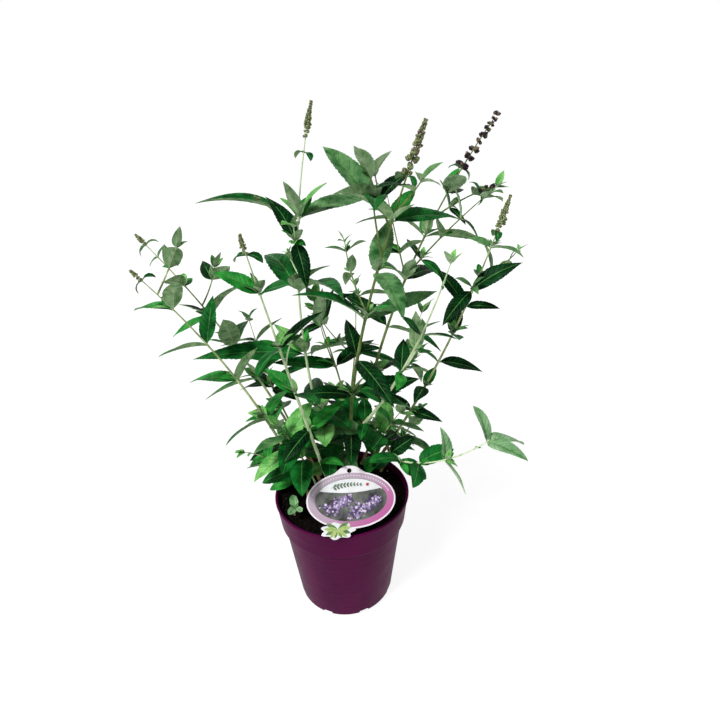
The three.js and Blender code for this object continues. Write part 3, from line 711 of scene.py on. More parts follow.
def leaf_materials():
    """The materials of the joined leaves, in the order of LEAF_SLOT."""
    blades = [
        mottled("leaf_" + name, dark, light, 70, 0.42, 1500, 0.16, Specular_IOR_Level=0.042)
        for name, (dark, light) in LEAF_TONES.items()
    ]
    return blades + [
        mottled("leaf_" + name, *values, **gloss) for name, (*values, gloss) in LEAF_PARTS.items()
    ]


def leaf_half_width(length):
    """Half the full width of a leaf: long ones are the slimmer."""
    short, long = LEAF_WIDTH_SPAN
    f = min(1, max(0, (length - short) / (long - short)))
    return 0.5 * length * (SHORT_LEAF_WIDTH + (LONG_LEAF_WIDTH - SHORT_LEAF_WIDTH) * f)


def blade_profile(t, ovate):
    """The share of the full width at each place along a leaf: round at the foot, drawn out at the
    tip, less so on the short broad leaves low on the plant."""
    foot, tip = 0.78 - 0.14 * ovate, 1.14 - 0.3 * ovate
    widest = foot / (foot + tip)
    full = widest**foot * (1 - widest) ** tip
    return t**foot * (1 - t) ** tip / full


def leaf_rows(veins):
    """The places of the rows along a leaf, and whether each row starts a side vein. A vein is a
    narrow row of its own, with three wider ones up to the next."""
    start, end = VEINED
    places, veined = [0, 0.025, 0.05], [False] * FOOT_ROWS
    for k in range(veins):
        for step in VEIN_STEPS:
            places.append(start + (end - start) * (k + step) / veins)
            veined.append(step == 0)
    return np.array(places + [end, 0.985, 1]), np.array(veined + [False, False])


def leaf_width(leaf, t, ovate):
    """Half the width of a leaf with its stalk at shares t of its length, without its teeth."""
    length = leaf["length"]
    half = leaf_half_width(length) * (1 + BROADER * ovate)
    blade = np.maximum(half * blade_profile(t, ovate), 0.06) * smooth(0.02, 0.1, t)
    stalk = PETIOLE_HALF_WIDTH * min(1, length / 40) * (1 - smooth(0.04, 0.14, t))
    return np.maximum(blade, stalk)


def leaf_rings(leaf, places, u, ovate, random):
    """The rings of one leaf: the top of each row, and back under it. It has a toothed margin and a
    fold along its midrib, and is swollen between its side veins. u holds the places across it."""
    length = leaf["length"]
    fold = math.radians(LEAF_FOLD + FOLD_SPREAD * (random() - 0.5))
    twist = math.radians(TWIST_SPREAD * (random() - 0.5))
    wave_phase = 2 * math.pi * random()
    wave = 0.05 + 0.05 * random()
    lift = 0.3 + 0.5 * random()

    # Rows bend towards the tip on their way out to the margin, as the side veins do.
    row = places[:, None]
    t = np.minimum(row + VEIN_SWEEP * np.abs(u) * leaf_width(leaf, row, ovate) / length, 1)
    centre, face = leaf_point(leaf, t)
    side = np.cross(leaf["along"], leaf["face"])
    angle = (twist * t)[..., None]
    across = turned(side, face, angle)
    normal = turned(face, -side, angle)

    width = leaf_width(leaf, t, ovate)
    number = np.arange(len(places))[:, None]
    margin = np.abs(u) > 0.99
    tooth = TOOTH_DEPTH * (number % 2) * smooth(0.1, 0.2, row) * (1 - smooth(0.9, 0.98, row))
    x = width * u * math.cos(fold) * (1 - margin * tooth)
    between = np.where((number - FOOT_ROWS) % len(VEIN_STEPS) > 1, 0.5, -0.5)
    between = between * (row > VEINED[0] - 0.01) * (row < VEINED[1] - 0.01)
    quilt = VEIN_DEPTH * width * between * np.sin(math.pi * np.abs(u) ** 0.8)
    ripple = wave * width * u * u * np.sin(6.5 * t + wave_phase + 1.3 * np.sign(u))
    z = width * np.abs(u) * math.sin(fold) * (1 - lift * np.abs(u) ** 2) + ripple + 2 * quilt
    midrib = (np.abs(u) < 0.1) * (MIDRIB_RISE[0] + MIDRIB_RISE[1] * (1 - t)) * min(1, length / 50)
    depth = LEAF_THICKNESS * min(1, 0.4 + length / 60) * (1 - u * u) + midrib
    top = centre + x[..., None] * across + z[..., None] * normal
    low = top - (depth * (1 - margin))[..., None] * normal
    return np.concatenate([top, low[:, -2:0:-1]], axis=1)


def leaf_slots(veined, strips, tone):
    """The material of each face of a leaf: its strips above, and then the same ones below."""
    under = "underside_young" if tone in PALE_TONES else "underside"
    slots = np.empty((len(veined), 2 * strips), int)
    slots[:, :strips] = np.where(veined[:, None], LEAF_SLOT["vein"], LEAF_SLOT[tone])
    slots[:, strips:] = np.where(veined[:, None], LEAF_SLOT["midrib_underside"], LEAF_SLOT[under])
    slots[:, strips // 2] = LEAF_SLOT["midrib"]
    slots[:, strips + strips // 2] = LEAF_SLOT["midrib_underside"]
    return slots


def add_leaf(gather, leaf, tone, ovate, random):
    """One leaf. tone is the name of its colour, and ovate how far it has the broad form of the
    leaves low on the plant."""
    veins, across = next(grade[1:] for grade in LEAF_GRADES if leaf["length"] > grade[0])
    places, veined = leaf_rows(veins)
    rings = leaf_rings(leaf, places, np.array(across)[None, :], ovate, random)
    gather.loft(rings, leaf_slots(veined, len(across) - 1, tone), blade=True)


def tone_of(spray, f, random):
    """The name of a leaf's tone, from its spray and how far up it grows. The deep tone, which is partly
    painted shade, goes to many leaves low on the shoots and inside the crown.
    """
    pick = random()
    if spray == "sprig" or (spray == "low_right" and f > 0.7):
        return "pale"
    if f > 0.86:
        return "young" if pick < 0.5 else "grey"
    if spray.startswith("foot") and pick < 0.6:
        return "grey" if pick < 0.24 else "young" if pick < 0.36 else "bright"
    if spray in SILVERY_SPRAYS and f > 0.55:
        return "grey" if pick < 0.58 else "full" if pick < 0.82 else "deep"
    if spray in BRIGHT_SPRAYS and f > 0.3:
        return "bright" if pick < 0.45 else "full" if pick < 0.8 else "deep"
    # Painted shade, in part: about half of these inner and lower leaves take the near-black deep tone.
    return "deep" if pick < 0.52 else "full" if pick < 0.85 else "bright"


# ---- stems

THIN_TIP_RADIUS = 0.45
# On a bough, the first swollen node and the way from one to the next.
BOUGH_NODES = (12, 17)
NODE_SWELL = 0.3
NODE_LENGTH = 1.6
LIMB_SEED = 500
STEM_SEED = 700
LIMB_SIDES = 14
LIMB_STEP = 1.8
BARK_RELIEF = 0.12
STEM_SIDES = 8
STEM_STEP = 3.2
STEM_RELIEF = 0.05
STOOL_SIDES = 24
STOOL_RINGS = 22
# How far up its arc a shoot's bough starts on the stool, and on the limb of its parent.
STOOL_START = 8
FORK_START = 1.2


def shown_radius(shoot, s):
    """The radius of a stem. It runs out thinner towards the tip than in the solid."""
    taper = max(0, 1 - s / shoot["length"]) ** 0.9
    return THIN_TIP_RADIUS + (0.95 * shoot["radius"] - THIN_TIP_RADIUS) * taper


def limb_rings(shoot, path, start, end, sides, step, relief, seed):
    """Rings of a limb with swollen nodes, and bark relief that fades out upwards."""
    random = random_source(seed)
    phases = [2 * math.pi * random() for _ in range(4)]
    angle = angles_of(sides)
    nodes = [*range(BOUGH_NODES[0], math.ceil(shoot["bare"]), BOUGH_NODES[1]), *pair_places(shoot)]
    rings = []
    count = max(2, round((end - start) / step))
    for i in range(count + 1):
        s = start + (end - start) * i / count
        radius = shown_radius(shoot, s)
        swelling = sum(math.exp(-(((s - node) / NODE_LENGTH) ** 2)) for node in nodes)
        flare = FLARE_SWELL * math.exp(-(((s / FLARE_HEIGHT) * 1.6) ** 2)) if "foot" in shoot else 0
        # Three waves run round the limb and shift as they go up it.
        ridges = (
            0.5 * np.sin(3 * angle + phases[0] + 0.05 * s)
            + 0.35 * np.sin(5 * angle + phases[1] - 0.09 * s)
            + 0.3 * np.sin(2 * angle + phases[2] + 0.5 * s) * np.sin(0.9 * s + phases[3])
        )
        bark = relief * (0.25 + 0.75 * (1 - smooth(20, 90, s)))
        radii = radius * (1 + NODE_SWELL * swelling + flare + bark * ridges)
        rings.append(ring(path, s, radii, sides))
    return rings


def flattened(rings, floor):
    """A limb's rings, raised to the floor where they reach below it, so that its foot is level."""
    rings = np.array(rings)
    rings[0][:, 2] = floor
    rings[1:, :, 2] = np.maximum(rings[1:, :, 2], floor + 0.01 * np.arange(1, len(rings))[:, None])
    return rings


def stool_rings(floor):
    """The short woody stem inside the foot, flared at the compost, with knobs."""
    angle = angles_of(STOOL_SIDES)
    rings = []
    for h in np.linspace(0, STOOL_HEIGHT, STOOL_RINGS):
        f = h / STOOL_HEIGHT
        radius = STOOL_NECK_RADIUS * (1 - 0.14 * f)
        radius += (STOOL_FLARE_RADIUS - STOOL_NECK_RADIUS) * math.exp(-((h / 4.2) ** 2))
        knobs = 0.09 * np.sin(3 * angle + 1) * (1 - f) + 0.05 * np.sin(7 * angle + 0.5 * h)
        knobs = knobs + 0.04 * np.sin(11 * angle - 0.7 * h)
        rings.append(level_ring(radius * (1 + knobs), floor + h, STOOL_SIDES) + (*STOOL_FOOT, 0))
    return rings


def add_limbs(shoots):
    """The woody stool and the boughs, with the relief of their bark."""
    woody = Gather()
    floor = SOIL_LEVEL + GAP
    woody.loft(stool_rings(floor), 0)
    for number, grown in enumerate(shoots.values()):
        shoot, path = grown["shoot"], grown["path"]
        start = STOOL_START if shoot.get("stool") else FORK_START if "parent" in shoot else 0
        rings = limb_rings(
            shoot, path, start, shoot["bare"], LIMB_SIDES, LIMB_STEP, BARK_RELIEF, LIMB_SEED + number)
        if "foot" in shoot:
            rings = flattened(rings, floor)
        woody.loft(rings, 0)
    bark = mottled(
        "bark", (74, 60, 40), (150, 142, 96), 260, 0.82, 1500, 0.35, stretch=(1, 1, 0.22),
        Specular_IOR_Level=0.1)
    piece = woody.build("limbs", [bark])
    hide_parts("stool", *("bough_" + name for name in shoots))
    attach(piece, BODY)


def add_leafy_stems(gather, grown, number, slot):
    """The green upper stem of a shoot and its side twigs, with swollen nodes."""
    for order, (stem, path) in enumerate(grown["stems"]):
        end = stem["length"] - (stem["panicle"][0] * 0.1 if "panicle" in stem else 0)
        start = stem["bare"] - 1 if order == 0 else 0
        seed = STEM_SEED + 10 * number + order
        rings = limb_rings(stem, path, start, end, STEM_SIDES, STEM_STEP, STEM_RELIEF, seed)
        gather.loft(rings, slot)


# ---- bud spikes

GREEN_BUD, TINGED_BUD, PURPLE_BUD = range(3)
BUD_SIDES = 6
# The share of a bud's length, and of its radius, at each of its rings.
BUD_RINGS = ((0, 0.3), (0.2, 0.7), (0.45, 1.0), (0.78, 0.64), (1.0, 0.12))
BUDS_IN_LOBE = 11
BUDS_AT_TIP = 6
TIP_BUD_LENGTH = 4.2
SPIKE_SEED = 900
DARK_SPIKE = "right_tall"
LONG_SPIKE = 40
WIDEST_CONE = 8.5


def add_bud(gather, base, along, length, radius, slot):
    """One closed bud: a small egg on a narrow foot, drawn out to a tip."""
    side = square_to(np.array([0.31, 0.87, 0.38]), along)
    other = np.cross(along, side)
    cos, sin = circle(BUD_SIDES)
    rings = []
    for t, r in BUD_RINGS:
        rings.append(base + along * length * t + radius * r * (cos * side + sin * other))
    gather.loft(rings, slot)


def add_spike(gather, shoot, path, seed, dark):
    """Whorls of buds round the top of a stem: chunky and apart at its foot, crowded into a cone above.
    On the dark spike they stay apart up to the tip."""
    random = random_source(seed)
    length, radius = shoot["panicle"]
    # From this share of the spike's length on its lobes are crowded.
    cone = 1 if dark else 0.5 if length > LONG_SPIKE else 0.22
    tinge = 0.42 if length > LONG_SPIKE else 0.14
    plain = PURPLE_BUD if dark else GREEN_BUD
    s = shoot["length"] - length
    order = 0
    while s < shoot["length"] - 1:
        f = 1 - (shoot["length"] - s) / length
        along, across, over = path.frame(s)
        crowded = f > cone
        if crowded:
            reach = max(1.6, min(1.3 * radius, WIDEST_CONE) * (1 - 0.72 * f))
            swing, share, step = 140, 0.66, 0.6
        else:
            reach = (1.42 if dark else 0.9) * radius * (1 - 0.42 * f)
            swing, share, step = 64, 0.78, 1.18 if dark else 0.9
        reach *= 0.84 + 0.32 * random()
        for half in (0, 180):
            lobe = reach * (0.9 if crowded else 0.76 + 0.36 * random())
            for _ in range(BUDS_IN_LOBE):
                angle = math.radians(90 * order + half + swing * (random() - 0.5))
                aim = unit(turned(across, over, angle) + (0.05 + 1.1 * random()) * along)
                far = lobe * (0.7 + 0.4 * random())
                size = far * share
                slot = TINGED_BUD if random() < tinge else plain
                add_bud(gather, path.at(s) + aim * (far - size), aim, size, 0.42 * size, slot)
        s += step * reach
        order += 1
    base = path.at(shoot["length"] - TIP_BUD_LENGTH)
    for _ in range(BUDS_AT_TIP):
        spread = np.array([random() - 0.5, random() - 0.5, random() - 0.5])
        aim = unit(along + 0.7 * spread)
        add_bud(gather, base, aim, TIP_BUD_LENGTH, 2.0 if dark else 1.0, plain)


def add_spikes(shoots):
    """Every bud spike, joined. The one on the tall shoot at the right is dark purple."""
    buds = Gather()
    for number, (name, grown) in enumerate(shoots.items()):
        for order, (stem, path) in enumerate(grown["stems"]):
            if "panicle" in stem:
                seed = SPIKE_SEED + 10 * number + order
                add_spike(buds, stem, path, seed, name == DARK_SPIKE)
    dull = dict(Specular_IOR_Level=0.08)
    green = mottled("bud_green", (44, 60, 32), (146, 158, 110), 900, 0.75, 3000, 0.08, **dull)
    tinged = mottled("bud_tinged", (60, 50, 44), (116, 106, 84), 900, 0.75, 3000, 0.08, **dull)
    purple = mottled("bud_purple", (10, 7, 13), (52, 38, 48), 900, 0.7, 3000, 0.08, **dull)
    piece = buds.build("bud_spikes", [green, tinged, purple])
    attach(piece, BODY)


# ---- the crown

SPRAY_GROUPS = {
    "leaves_left": ("left", "left_low", "foot_left", "front_left", "foot_front_left", "sprig"),
    "leaves_middle": ("tall_centre", "short_centre", "back", "back_left", "foot_centre", "foot_back"),
    "leaves_main": ("main", "front_right"),
    "leaves_right": ("right_tall", "right", "low_right", "foot_right", "foot_back_right", "back_right"),
}
SPRAY_SEED = 3000
TUFT_CHANCE = 0.55
# Small leaves in a tuft: the share of the leaf's length that they have at least and at most.
TUFT_SHARE = (0.22, 0.4)
TUFT_TURNS = (40, -40, 16, -20)
TUFT_OPENING = 30
TUFT_LEAST_LEAF = 20
# Leaves are broad and ovate at the foot of a shoot, less so up to this share of it. In the sprays
# below, by the first word of their name, they all are as far as the number says.
BROAD_BELOW = 0.42
ROUND_SPRAYS = {"foot": 1, "low": 0.8, "sprig": 2}
STEM_TONES = {
    "olive": ((58, 78, 34), (114, 132, 74)),
    "green": ((104, 122, 74), (166, 180, 132)),
    "mint": ((138, 160, 118), (188, 204, 164)),
}
OLIVE_STEMS = ("main", "right_tall", "short_centre")
MINT_STEMS = ("front_left", "front_right", "tall_centre", "low_right")


def tuft_leaves(path, leaf, s, angle, random):
    """The small young leaves in a leaf's axil, two or four of them."""
    leaves = []
    for turn in TUFT_TURNS[:2] if random() < 0.6 else TUFT_TURNS:
        share = TUFT_SHARE[0] + (TUFT_SHARE[1] - TUFT_SHARE[0]) * random()
        size = max(7, leaf["length"] * share)
        leaves.append(leaf_at(path, s + AXIL_RISE, angle + turn, size, TUFT_OPENING, random)[0])
    return leaves


def surface_of(node):
    """The surface of a CAD node, to be searched for its nearest point."""
    mesh = frame["nodes"][node].data
    points = [v.co for v in mesh.vertices]
    return BVHTree.FromPolygons(points, [p.vertices[:] for p in mesh.polygons])


def add_spray(blades, grown, random):
    """The leaves of one shoot that its solid has room for, with tufts in the axils of some."""
    name = grown["shoot"]["name"]
    surface = surface_of("foliage_" + name)
    for path, places, s, angle, main in grown["planned"]:
        leaf = kept_place(places, surface)
        f = s / path.length
        tone = tone_of(name, f, random)
        tuft = random() < TUFT_CHANCE
        if leaf is None:
            continue
        ovate = ROUND_SPRAYS.get(name.split("_")[0], max(0, 1 - f / BROAD_BELOW))
        if leaf["length"] == CURLED_LENGTH:
            ovate, tone = 1, "full"
        add_leaf(blades, leaf, tone, ovate, random)
        if main and tuft and leaf["length"] > TUFT_LEAST_LEAF:
            for young in tuft_leaves(path, leaf, s, angle, random):
                add_leaf(blades, young, "young" if random() < 0.6 else "bright", 0.5, random)


def add_crown(shoots):
    """Leaves in four joined pieces, and the leafy stems in one."""
    materials = leaf_materials()
    twigs = Gather()
    numbers = {name: number for number, name in enumerate(shoots)}
    for piece_name, members in SPRAY_GROUPS.items():
        blades = Gather()
        for name in members:
            add_spray(blades, shoots[name], random_source(SPRAY_SEED + numbers[name]))
            tone = "olive" if name in OLIVE_STEMS else "mint" if name in MINT_STEMS else "green"
            add_leafy_stems(twigs, shoots[name], numbers[name], list(STEM_TONES).index(tone))
        piece = blades.build(piece_name, materials)
        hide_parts(*("foliage_" + name for name in members))
        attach(piece, BODY)
    skins = [
        mottled("stem_" + name, dark, light, 200, 0.62, 1800, 0.1, stretch=(1, 1, 0.3),
                Specular_IOR_Level=0.1)
        for name, (dark, light) in STEM_TONES.items()
    ]
    piece = twigs.build("leafy_stems", skins)
    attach(piece, BODY)


# ---- pot

POT_SIDES = 224
CORNER_STEPS = 5
# An arc takes up at most this share of each line that it joins.
CORNER_SHARE = 0.45
POT_CORNER = 1.3
POT_SHARP = 40
UNDERSIDE_DISH = 1.2


def collar_radius(z):
    """The outer radius of the pot's collar at a height."""
    low = POT_HEIGHT - COLLAR_HEIGHT
    rise = COLLAR_HEIGHT - LIP_HEIGHT
    return COLLAR_FOOT_RADIUS + (z - low) * (POT_RIM_RADIUS - LIP_PROUD - COLLAR_FOOT_RADIUS) / rise


def body_radius(z):
    """The outer radius of the pot below its collar at a height."""
    low = POT_HEIGHT - COLLAR_HEIGHT
    top = COLLAR_FOOT_RADIUS - COLLAR_STEP
    return POT_BASE_RADIUS + (z - FOOT_CHAMFER) * (top - POT_BASE_RADIUS) / (low - FOOT_CHAMFER)


def rounded(profile, radius):
    """A profile of (r, z) whose inner corners are turned into small arcs."""
    points = [np.array(p, float) for p in profile]
    smoothed = [points[0]]
    for before, corner, after in zip(points, points[1:], points[2:]):
        back, on = before - corner, after - corner
        reach = min(radius, *(CORNER_SHARE * np.linalg.norm(line) for line in (back, on)))
        start, end = corner + unit(back) * reach, corner + unit(on) * reach
        for i in range(CORNER_STEPS + 1):
            f = i / CORNER_STEPS
            smoothed.append((1 - f) ** 2 * start + 2 * f * (1 - f) * corner + f * f * end)
    smoothed.append(points[-1])
    return np.array(smoothed)


def lathe(gather, profile, sides, slot):
    """A closed solid turned about the pot's axis. The profile starts and ends on the axis."""
    count = len(profile) - 2
    rings = [level_ring(r, z, sides) for r, z in profile[1:-1]]
    points = np.concatenate([*rings, [[0, 0, profile[0][1]], [0, 0, profile[-1][1]]]])
    faces = []
    for j in range(sides):
        k = (j + 1) % sides
        faces.append([j, len(points) - 2, k])
        faces += [
            [i * sides + j, i * sides + k, (i + 1) * sides + k, (i + 1) * sides + j]
            for i in range(count - 1)
        ]
        faces.append([(count - 1) * sides + j, (count - 1) * sides + k, len(points) - 1])
    gather.add(points, faces, [slot] * len(faces))


def pot_material():
    """Satin purple plastic: faint moulding bands round it, dusty streaks and a fine grain."""
    material, tree, bsdf = shader("pot_plastic", 0.45, Specular_IOR_Level=0.035)
    shades = ramp(tree, noise(tree, 14, 4.0, (1, 1, 0.5)), [
        (0.3, srgb(56, 3, 42)), (0.72, srgb(73, 5, 53)),
    ])
    tree.links.new(shades, bsdf.inputs["Base Color"])
    scuffs = add_node(tree, "MapRange", Value=noise(tree, 60, 6.0), To_Min=0.32, To_Max=0.54)
    tree.links.new(scuffs.outputs["Result"], bsdf.inputs["Roughness"])
    bands = noise(tree, 130, 2.0, (0.02, 0.02, 1))
    grain = noise(tree, 1900, 2.0)
    bump(tree, bsdf, calculated(tree, "Math", "MULTIPLY_ADD", grain, 0.14, bands), 0.35)
    return material


def pot_profile():
    """Half the section of the pot's wall, from the axis below its floor to the axis above it."""
    low = POT_HEIGHT - COLLAR_HEIGHT
    lip_foot = POT_HEIGHT - LIP_HEIGHT
    outer = [
        (0, UNDERSIDE_DISH), (POT_BASE_RADIUS - 9, UNDERSIDE_DISH), (POT_BASE_RADIUS - 8, 0),
        (POT_BASE_RADIUS - FOOT_CHAMFER, 0), (POT_BASE_RADIUS, FOOT_CHAMFER),
        (body_radius(low - 1), low - 1), (COLLAR_FOOT_RADIUS - 0.8, low),
        (COLLAR_FOOT_RADIUS, low + 1.2), (collar_radius(lip_foot), lip_foot),
        (POT_RIM_RADIUS, lip_foot + 0.8), (POT_RIM_RADIUS, POT_HEIGHT),
        (POT_RIM_RADIUS - POT_WALL - LIP_PROUD, POT_HEIGHT),
    ]
    inner = [
        (collar_radius(lip_foot) - POT_WALL, lip_foot),
        (collar_radius(low) - POT_WALL, low + COLLAR_STEP), (body_radius(low) - POT_WALL, low),
        (body_radius(POT_FLOOR) - POT_WALL, POT_FLOOR), (0, POT_FLOOR),
    ]
    return rounded(outer + inner, POT_CORNER)


def drain_cutter():
    """The boxes that cut the drain slots out of the foot of the wall."""
    cutters = Gather()
    box = np.array([(x, y, z) for x in (0, 1) for y in (-0.5, 0.5) for z in (-1, 1)], float)
    box = box * (POT_BASE_RADIUS, DRAIN_WIDTH, DRAIN_HEIGHT) + (DRAIN_INNER_RADIUS, 0, 0)
    sides = [[0, 1, 3, 2], [4, 6, 7, 5], [0, 4, 5, 1], [2, 3, 7, 6], [0, 2, 6, 4], [1, 5, 7, 3]]
    for i in range(DRAIN_COUNT):
        turn = 2 * math.pi * (i + 0.5) / DRAIN_COUNT
        spin = np.array(Matrix.Rotation(turn, 3, "Z"))
        cutters.add(box @ spin.T, sides, [0] * len(sides))
    return cutters.build("drain_cutter", [])


def add_pot():
    """The pot: its wall and floor in one, with the drain slots cut out."""
    wall = Gather()
    lathe(wall, pot_profile(), POT_SIDES, 0)
    pot = wall.build("nursery_pot", [pot_material()], sharp=POT_SHARP)
    cutter = drain_cutter()
    cut = pot.modifiers.new("drains", "BOOLEAN")
    cut.operation = "DIFFERENCE"
    cut.solver = "EXACT"
    cut.object = cutter
    pierced = evaluated_mesh(pot)
    pot.modifiers.clear()
    pot.data = pierced
    bpy.data.objects.remove(cutter)
    pierced.set_sharp_from_angle(angle=math.radians(POT_SHARP))
    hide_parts("pot")
    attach(pot, BODY)


# ---- compost

SOIL_GAP = 0.45
SOIL_SIDES = 200
SOIL_RINGS = 64
CRUMB_COUNT = 1500
FLECK_SHARE = 0.02


def soil_height(x, y):
    """The lumpy level of the compost, in millimetres above or below its mean."""
    waves = 0.8 * np.sin(0.09 * x + 1.1) * np.sin(0.11 * y - 0.4)
    waves = waves + 0.5 * np.sin(0.31 * x + 0.23 * y) + 0.35 * np.sin(0.52 * y - 0.41 * x + 2)
    return waves + 0.3 * np.sin(1.1 * x) * np.sin(1.3 * y + 0.7) - 1.0


def crumb_shape():
    """The points and the faces of a crumb: a rough ball of 20 faces."""
    upper = [(1, 0), (0.3, 1), (-0.8, 0.6), (-0.8, -0.6), (0.3, -1)]
    lower = [(0.8, 0.6), (-0.3, 1), (-1, 0), (-0.3, -1), (0.8, -0.6)]
    points = [(0, 0, 1), *((*p, 0.4) for p in upper), *((*p, -0.4) for p in lower), (0, 0, -1)]
    faces = [[0, 1 + i, 1 + (i + 1) % 5] for i in range(5)]
    faces += [[1 + i, 6 + i, 1 + (i + 1) % 5] for i in range(5)]
    faces += [[1 + (i + 1) % 5, 6 + i, 6 + (i + 1) % 5] for i in range(5)]
    faces += [[11, 6 + (i + 1) % 5, 6 + i] for i in range(5)]
    return np.array([unit(np.array(p, float)) for p in points]), faces


def add_compost():
    """The bed, which fills the pot with a small gap all round, and crumbs strewn on it."""
    random = np.random.default_rng(77)
    soil = Gather()
    low = POT_HEIGHT - COLLAR_HEIGHT
    inset = POT_WALL + SOIL_GAP
    edge = collar_radius(SOIL_LEVEL) - inset
    walls = [
        (body_radius(POT_FLOOR) - inset, POT_FLOOR + SOIL_GAP), (body_radius(low) - inset, low),
        (collar_radius(low) - inset, low + COLLAR_STEP),
    ]
    rings = [level_ring(r, z, SOIL_SIDES) for r, z in walls]
    cos, sin = circle(SOIL_SIDES)
    for i in range(SOIL_RINGS):
        r = edge * (1 - i / SOIL_RINGS)
        height = SOIL_LEVEL + soil_height(r * cos, r * sin)
        rough = random.normal(0, 0.28, height.shape) if i else 0
        rings.append(level_ring(r, height + rough, SOIL_SIDES))
    soil.loft(rings, 0)
    ball, faces = crumb_shape()
    for i in range(CRUMB_COUNT):
        r = (edge - 2.5) * math.sqrt(random.random())
        angle = 2 * math.pi * random.random()
        x, y = r * math.cos(angle), r * math.sin(angle)
        size = random.uniform(0.5, 1.2) if random.random() < 0.8 else random.uniform(1.2, 2.4)
        shape = ball * size * random.uniform(0.55, 1.25, (1, 3)) * random.uniform(0.8, 1.2, (12, 1))
        place = (x, y, SOIL_LEVEL + soil_height(x, y) + 0.35 * size)
        soil.add(shape + place, faces, [2 if random.random() < FLECK_SHARE else 1] * len(faces))
    dull = dict(Specular_IOR_Level=0.03)
    peat = mottled("compost", (5, 4, 4), (17, 13, 11), 240, 0.95, 1400, 0.9, **dull)
    crumb = mottled("compost_crumbs", (8, 6, 6), (32, 25, 20), 300, 0.95, 1800, 0.5, **dull)
    fleck = mottled("compost_flecks", (104, 92, 76), (150, 138, 118), 300, 0.9, 1800, 0.4, **dull)
    piece = soil.build("compost_bed", [peat, crumb, fleck])
    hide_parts("compost")
    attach(piece, BODY)


# ---- label

TAB_STEPS = 14
LOBE_STEPS = 112
PLATE_EDGE = 0.12
# The stake's share of its full width at each share of its height.
STAKE_TAPER = ((0.35, 0), (0.8, 0.12), (1, 0.3), (1, 1))


def bezier(a, b, c, d, steps):
    """Points of a cubic curve, without its first one."""
    t = np.linspace(0, 1, steps + 1)[1:, None]
    a, b, c, d = (np.array(p, float) for p in (a, b, c, d))
    u = 1 - t
    return u**3 * a + 3 * u * u * t * b + 3 * u * t * t * c + t**3 * d


def lobe_reach(angle):
    """How far the lobe's wavy edge reaches, as a share of its half sizes."""
    return 1 + LABEL_LOBE_WAVE_DEPTH * np.cos(LABEL_LOBE_WAVES * angle)


def label_lobe(margin=0.0):
    """The wavy lobe below the oval, in the label's own plane."""
    angle = np.linspace(0, 2 * math.pi, LOBE_STEPS, endpoint=False)
    half = np.array(LABEL_LOBE_HALF) - margin
    around = np.stack([np.cos(angle), np.sin(angle)], axis=1)
    return LABEL_LOBE_CENTRE + half * lobe_reach(angle)[:, None] * around


def kept_run(points, keep):
    """The kept points of a closed outline, which follow one another on it."""
    first = next(i for i in range(len(points)) if keep[i] and not keep[i - 1])
    return np.roll(points, -first, axis=0)[: keep.sum()]


def label_outline():
    """The oval with its hanging tab and its lobe, in the label's own plane."""
    meet = math.acos(LABEL_TAB_HALF_WIDTH / LABEL_HALF_WIDTH)
    angle = np.linspace(math.pi - meet, 2 * math.pi + meet, 110)
    below = np.stack([LABEL_HALF_WIDTH * np.cos(angle), LABEL_HALF_HEIGHT * np.sin(angle)], axis=1)
    shoulder = LABEL_HALF_HEIGHT * math.sin(meet)
    top = LABEL_HALF_HEIGHT + LABEL_TAB_HEIGHT
    half, ease = LABEL_TAB_HALF_WIDTH, shoulder + LABEL_TAB_EASE
    right = bezier(
        (half, shoulder), (half * LABEL_TAB_WAIST, ease), (half * LABEL_TAB_CROWN, top), (0, top),
        TAB_STEPS)
    left = right[-2::-1] * (-1, 1)
    plain = np.concatenate([below, right, left])
    offset = (plain - LABEL_LOBE_CENTRE) / LABEL_LOBE_HALF
    in_lobe = np.hypot(*offset.T) < lobe_reach(np.arctan2(offset[:, 1], offset[:, 0]))
    lobe = label_lobe()
    in_oval = np.hypot(lobe[:, 0] / LABEL_HALF_WIDTH, lobe[:, 1] / LABEL_HALF_HEIGHT) < 1
    return np.concatenate([kept_run(plain, ~in_lobe), kept_run(lobe, ~in_oval)])


def on_label(points):
    """Points in the label's own plane, with their height above its middle, in the part's frame."""
    roll = Matrix.Rotation(math.radians(LABEL_ROLL), 3, "Z")
    lean = Matrix.Rotation(math.radians(90 - LABEL_LEAN), 3, "X")
    return np.asarray(points) @ np.array(lean @ roll).T + LABEL_CENTRE


def stamp(printed, outline, ink, layer, fine=0.0):
    """One flat shape of print. Each layer lies a little above the one before."""
    face = LABEL_THICKNESS / 2
    outline = np.asarray(outline)
    rings = [
        on_label(np.concatenate([outline, np.full((len(outline), 1), height)], axis=1))
        for height in (face - PRINT_SUNK, face + PRINT_LAYER * layer + fine)
    ]
    printed.loft(rings, INK_SLOT[ink])


def oval(half_width, half_height, sides=120):
    """An oval round the label's middle."""
    cos, sin = circle(sides)
    return np.concatenate([half_width * cos, half_height * sin], axis=1)


def petals(centre, size, count, phase):
    """The outline of a small blossom with round petals."""
    angle = np.linspace(0, 2 * math.pi, 8 * count, endpoint=False)
    radius = size * (0.52 + 0.48 * np.abs(np.cos(0.5 * count * angle)) ** 0.7)
    return centre + radius[:, None] * np.stack([np.cos(angle + phase), np.sin(angle + phase)], axis=1)


def lance(centre, length, half_width, angle):
    """The outline of a plain leaf, drawn round its middle."""
    t = np.linspace(0, 1, 9)
    side = half_width * np.sin(math.pi * t) ** 0.8
    upper = np.stack([length * (t - 0.5), side], axis=1)
    outline = np.concatenate([upper, (upper * (1, -1))[-2:0:-1]])
    turn = np.array([[math.cos(angle), math.sin(angle)], [-math.sin(angle), math.cos(angle)]])
    return centre + outline @ turn


# The way in which the ring's print fades, with its rate per metre, and where it starts to.
RING_FADE_AIM = (9.0, -4.0, -11.0)
RING_FADE_START = 2.15


